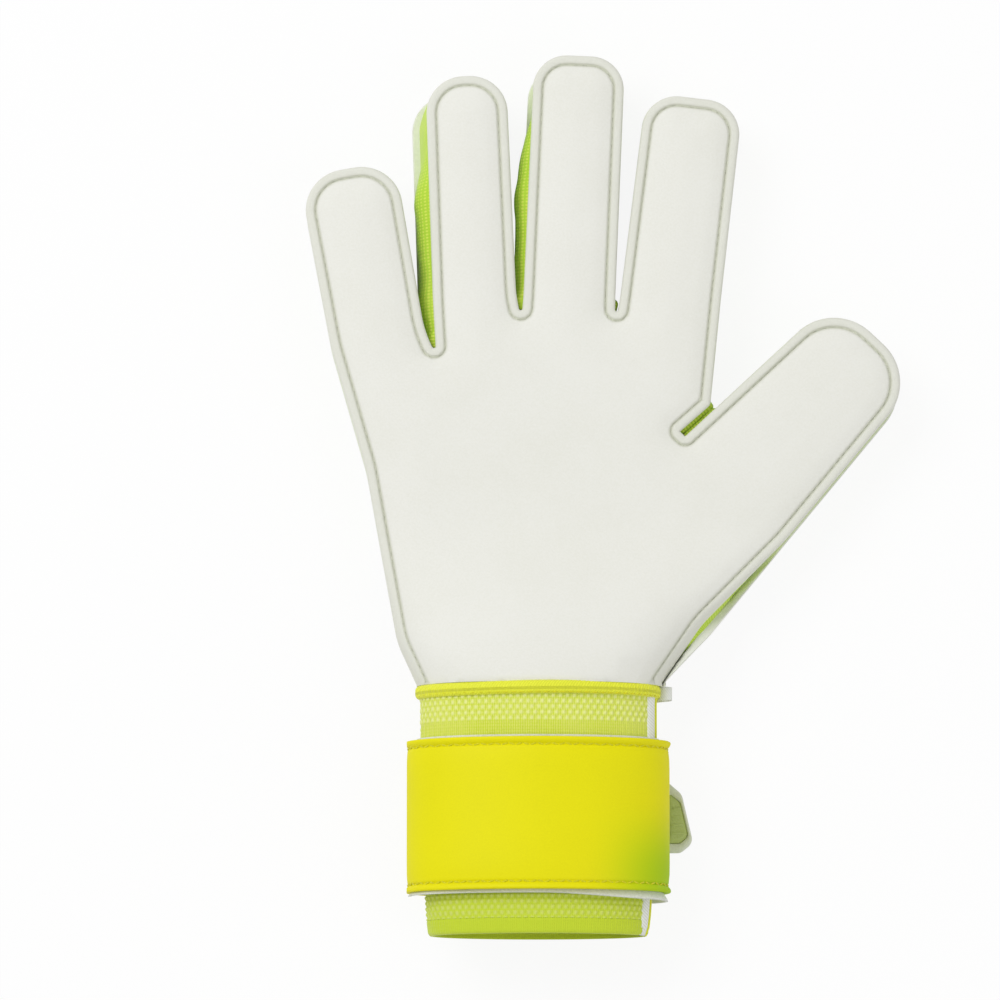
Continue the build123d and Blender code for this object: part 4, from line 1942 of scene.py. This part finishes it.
    def _flap(self) -> None:
        """Flap that opens: coated face, stitches and lining."""
        band = Band.oval(0.0, self.flap_start, 270.0, 1.5).then_straight(FLAP_REACH, 1.6)
        rows = edge_rows(STRAP_TOP_Y, STRAP_W, 3.0)
        lift = self._relief(band, rows)
        lift = np.where(band.place[:, 1:2] < 3.0, np.minimum(lift, 0.0), lift)
        piece = band_piece("flap_face_coated", band, rows, lift, self.flap_t, STRAP)
        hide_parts("flap_outer")
        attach(piece, "strap_flap")
        points, faces = self._edge_stitches(band, 0.0)
        points[:, 2] = np.maximum(points[:, 2], 0.02)
        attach(make_piece("flap_stitches", points, faces, LIME_THREAD), "strap_flap")
        band = Band.oval(self.flap_t + 0.2, self.flap_start + 0.2, 270.0, 2.0).then_straight(7.0, 1.6)
        rows = np.linspace(STRAP_TOP_Y - 1.0, STRAP_TOP_Y - STRAP_W + 1.0, 24)
        piece = band_piece("flap_lining_brushed", band, rows, np.zeros(len(rows)), 0.8, BACKING)
        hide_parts("flap_lining")
        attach(piece, "strap_flap")

    def _hooks(self) -> None:
        """Moulded hook tape: a thin base with rows of small posts."""
        x0, x1 = CUFF_X + 8.0, CUFF_X + 36.0
        y0, y1 = STRAP_TOP_Y - STRAP_W + 4.0, STRAP_TOP_Y - 4.0
        rim = rounded([(x0, y0), (x0, y1), (x1, y1), (x1, y0)], [4.0] * 4, 1.2)
        parts = [slab(rim, 1.8, 2.2, 0.1)]
        xs = np.arange(x0 + 1.5, x1 - 1.2, self.hook_pitch)
        ys = np.arange(y0 + 1.5, y1 - 1.2, self.hook_pitch)
        ring = [(-1, -1), (1, -1), (1, 1), (-1, 1)]
        faces = [(k, (k + 1) % 4, 4 + (k + 1) % 4, 4 + k) for k in range(4)] + [(4, 5, 6, 7), (3, 2, 1, 0)]
        centre = np.array([(x0 + x1) / 2, (y0 + y1) / 2])
        for x in xs:
            for y in ys:
                corner = np.maximum(np.abs(np.array([x, y]) - centre) - [10.5, 17.0], 0.0)
                if np.hypot(*corner) > 2.6:
                    continue
                low = [(x + a * self.hook_base, y + b * self.hook_base, 2.15) for a, b in ring]
                high = [(x + a * self.hook_head + 0.1, y + b * self.hook_head, 2.72) for a, b in ring]
                parts.append((np.array(low + high), faces))
        points, faces = join_parts(parts)
        piece = make_piece("hook_patch_moulded", points, faces, HOOKS)
        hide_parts("hook_patch")
        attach(piece, "strap_flap")

    @staticmethod
    def _tab() -> None:
        """Moulded rubber pull tab: rounded rim round a ridged grip."""
        x, y = CUFF_X + FLAP_REACH + 0.3, STRAP_TOP_Y - 10.4
        corners = [(x, y), (x + 5.52, y - 4.8), (x + 9.2, y - 20.64), (x + 5.06, y - 24.0), (x, y - 24.0)]
        rim = rounded(corners, [0.8, 4.2, 3.4, 3.0, 0.8], 0.4)
        centre = np.array([x + 4.1, y - 14.0])
        outside = [(0.93, 0.0), (0.985, 0.3), (1.0, 0.8), (1.0, 1.7), (0.975, 2.2), (0.92, 2.45)]
        lip = [(0.84, 2.5), (0.74, 2.4), (0.7, 2.1), (0.69, 0.6)]
        points, faces = scaled_stack(rim, centre, outside + lip)
        body = make_piece("tab_rim_moulded", points, faces, TAB_RIM)
        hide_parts("tab_body")
        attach(body, "pull_tab")
        levels = [(0.685, 0.55), (0.688, 1.75), (0.66, 1.95), (0.5, 2.12), (0.3, 2.2)]
        parts = [scaled_stack(rim, centre, levels)]
        for k in range(4):
            middle = y - 9.5 - 2.7 * k
            reach = 1.5 + 0.28 * k
            left, right = x + 4.0 - reach, x + 3.9 + reach
            low, high = middle - 0.4, middle + 0.4
            ridge = rounded([(left, low), (left, high), (right, high), (right, low)], [0.38] * 4, 0.2)
            parts.append(slab(ridge, 1.9, 2.4, 0.15))
        points, faces = join_parts(parts)
        grip = make_piece("tab_grip_moulded", points, faces, TAB_GRIP)
        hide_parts("tab_grip")
        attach(grip, "pull_tab")


def rounded(corners: list, radii: list, step: float) -> Array:
    """Closed outline with rounded corners, sampled at a step.

    Args:
        corners: corners of the outline.
        radii: rounding of each corner.
        step: point spacing.

    Returns:
        Points, (n, 2).
    """
    place = np.array(corners, float)
    count = len(place)
    points = []
    for i in range(count):
        before, here, after = place[i - 1], place[i], place[(i + 1) % count]
        back = (before - here) / np.linalg.norm(before - here)
        ahead = (after - here) / np.linalg.norm(after - here)
        angle = acos(float(np.clip(back @ ahead, -1, 1)))
        reach = radii[i] / tan(angle / 2)
        middle = (back + ahead) / np.linalg.norm(back + ahead)
        centre = here + middle * radii[i] / sin(angle / 2)
        start, end = here + back * reach, here + ahead * reach
        first = atan2(*(start - centre)[::-1])
        turn = (atan2(*(end - centre)[::-1]) - first + pi) % (2 * pi) - pi
        arcs = max(4, int(radii[i] * abs(turn) / step))
        for angle in (first + turn * k / arcs for k in range(arcs + 1)):
            points.append(centre + radii[i] * np.array([cos(angle), sin(angle)]))
    return np.array(points)


def inward(rim: Array) -> Array:
    """Unit vectors into a closed outline.

    Args:
        rim: closed outline, (n, 2).

    Returns:
        Vectors, (n, 2).
    """
    ahead = np.roll(rim, -1, axis=0) - np.roll(rim, 1, axis=0)
    ahead /= np.maximum(np.linalg.norm(ahead, axis=1, keepdims=True), TINY)
    area = float((rim[:, 0] * np.roll(rim[:, 1], -1) - np.roll(rim[:, 0], -1) * rim[:, 1]).sum())
    turn = np.column_stack([-ahead[:, 1], ahead[:, 0]])
    return turn if area > 0 else -turn


def ring_stack(rings: list[Array]) -> Mesh:
    """Skin through a stack of rings, capped at both ends.

    Args:
        rings: rings of points, (n, 3) each.

    Returns:
        Points and faces.
    """
    flat = rings[0][:, :2]
    area = float((flat[:, 0] * np.roll(flat[:, 1], -1) - np.roll(flat[:, 0], -1) * flat[:, 1]).sum())
    faces = stack_faces(len(rings), len(rings[0]))
    if area < 0:
        faces = [face[::-1] for face in faces]
    return np.vstack(rings), faces


def scaled_stack(rim: Array, centre: Array, levels: list) -> Mesh:
    """Skin through copies of an outline, each scaled about a centre and set at its own height."""
    places = [(centre + (rim - centre) * share, z) for share, z in levels]
    return ring_stack([np.column_stack([place, np.full(len(rim), z)]) for place, z in places])


def slab(rim: Array, low: float, high: float, soft: float) -> Mesh:
    """Flat slab with softened top and bottom edges.

    Args:
        rim: closed outline, (n, 2).
        low: height of its bottom.
        high: height of its top.
        soft: rounding of its edges.

    Returns:
        Points and faces.
    """
    into = inward(rim)
    levels = [(soft, low), (0.0, low + soft), (0.0, high - soft)]
    levels += [(soft * 0.3, high - soft * 0.3), (soft, high)]
    return ring_stack([np.column_stack([rim + into * d, np.full(len(rim), z)]) for d, z in levels])


# ---------------------------------------------------------------- studio
@dataclass
class Studio:
    """Camera, pale floor and soft lights, with places in metres.

    Args:
        elevation: camera's angle over the floor in degrees.
        view_width: breadth of the view at the glove in mm.
        distance: camera's distance from the glove.
        target: point that the camera looks at, in mm.
        floor_half: half the floor's side.
        floor_white: brightness of the floor's paper.
        floor_glow: share of plain white in what the camera sees of the floor.
        sky: strength of the even light from all round.
        lamps: name, place, size and watts of each area light.
    """

    elevation: float = 83.2
    view_width: float = 325.0
    distance: float = 2.6
    target: tuple[float, float, float] = (-33.5, -2.5, 24.0)
    floor_half: float = 3.0
    floor_white: float = 0.9
    floor_glow: float = 0.9
    sky: float = 0.57
    lamps: tuple = (("key", (-0.9, 0.7, 1.5), 1.1, 16.5), ("fill", (1.2, -0.8, 1.4), 1.4, 6.5))

    def build(self) -> None:
        """Set up the camera, the floor and the lights."""
        self._camera()
        self._floor()
        self._lights()
        bpy.context.scene.view_settings.view_transform = "Standard"

    def _camera(self) -> None:
        """Long lens looking down at the palm, slightly from the cuff's side."""
        data = bpy.data.cameras.new("camera")
        data.sensor_width = 36.0
        data.lens = data.sensor_width * self.distance / (self.view_width * MM)
        data.clip_start = 0.05
        data.clip_end = 20.0
        camera = bpy.data.objects.new("camera", data)
        bpy.context.collection.objects.link(camera)
        up = radians(self.elevation)
        direction = Vector((0.0, -cos(up), sin(up)))
        camera.location = Vector(self.target) * MM + direction * self.distance
        camera.rotation_euler = (pi / 2 - up, 0.0, 0.0)
        bpy.context.scene.camera = camera

    def _floor(self) -> None:
        """Pale paper that the camera sees as nearly white and that keeps the glove's shadow."""
        half = self.floor_half
        corners = [(-half, -half, 0), (half, -half, 0), (half, half, 0), (-half, half, 0)]
        mesh = bpy.data.meshes.new("floor")
        mesh.from_pydata(corners, [], [(0, 1, 2, 3)])
        floor = bpy.data.objects.new("floor", mesh)
        bpy.context.collection.objects.link(floor)
        material = bpy.data.materials.new("floor_paper_white")
        material.use_nodes = True
        tree = material.node_tree
        tree.nodes.remove(tree.nodes["Principled BSDF"])
        paper = add_node(tree, "BsdfDiffuse", {"Color": (*[self.floor_white] * 3, 1.0)})
        glow = add_node(tree, "Emission", {"Strength": 1.0})
        seen = add_node(tree, "LightPath", output="Is Camera Ray")
        share = add_node(tree, "Math", {0: seen, 1: self.floor_glow}, operation="MULTIPLY")
        shown = add_node(tree, "MixShader", {0: share, 1: paper, 2: glow})
        tree.links.new(shown, tree.nodes["Material Output"].inputs["Surface"])
        mesh.materials.append(material)

    def _lights(self) -> None:
        """Even light from all round and two large soft lamps."""
        world = bpy.data.worlds.new("studio")
        bpy.context.scene.world = world
        world.use_nodes = True
        background = world.node_tree.nodes["Background"]
        background.inputs["Color"].default_value = (1.0, 1.0, 1.0, 1.0)
        background.inputs["Strength"].default_value = self.sky
        for name, place, size, power in self.lamps:
            data = bpy.data.lights.new(name, "AREA")
            data.shape = "SQUARE"
            data.size = size
            data.energy = power
            light = bpy.data.objects.new(name, data)
            bpy.context.collection.objects.link(light)
            light.location = place
            light.rotation_euler = (-Vector(place)).to_track_quat("-Z", "Y").to_euler()


def main() -> None:
    """Build the glove's looks in order."""
    logging.basicConfig(level=logging.INFO, format="%(message)s")
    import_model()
    pattern = Pattern()
    known = {piece.name for piece in bpy.data.objects}
    for assembly in (Studio(), Panels(pattern), Gussets(pattern), SeamStitches(pattern), Cuff(), Strap()):
        assembly.build()
        for piece in bpy.data.objects:
            if piece.name not in known:
                LOG.info("%s: %s", type(assembly).__name__, piece.name)
                known.add(piece.name)
    bpy.context.view_layer.update()


if __name__ == "__main__":
    main()
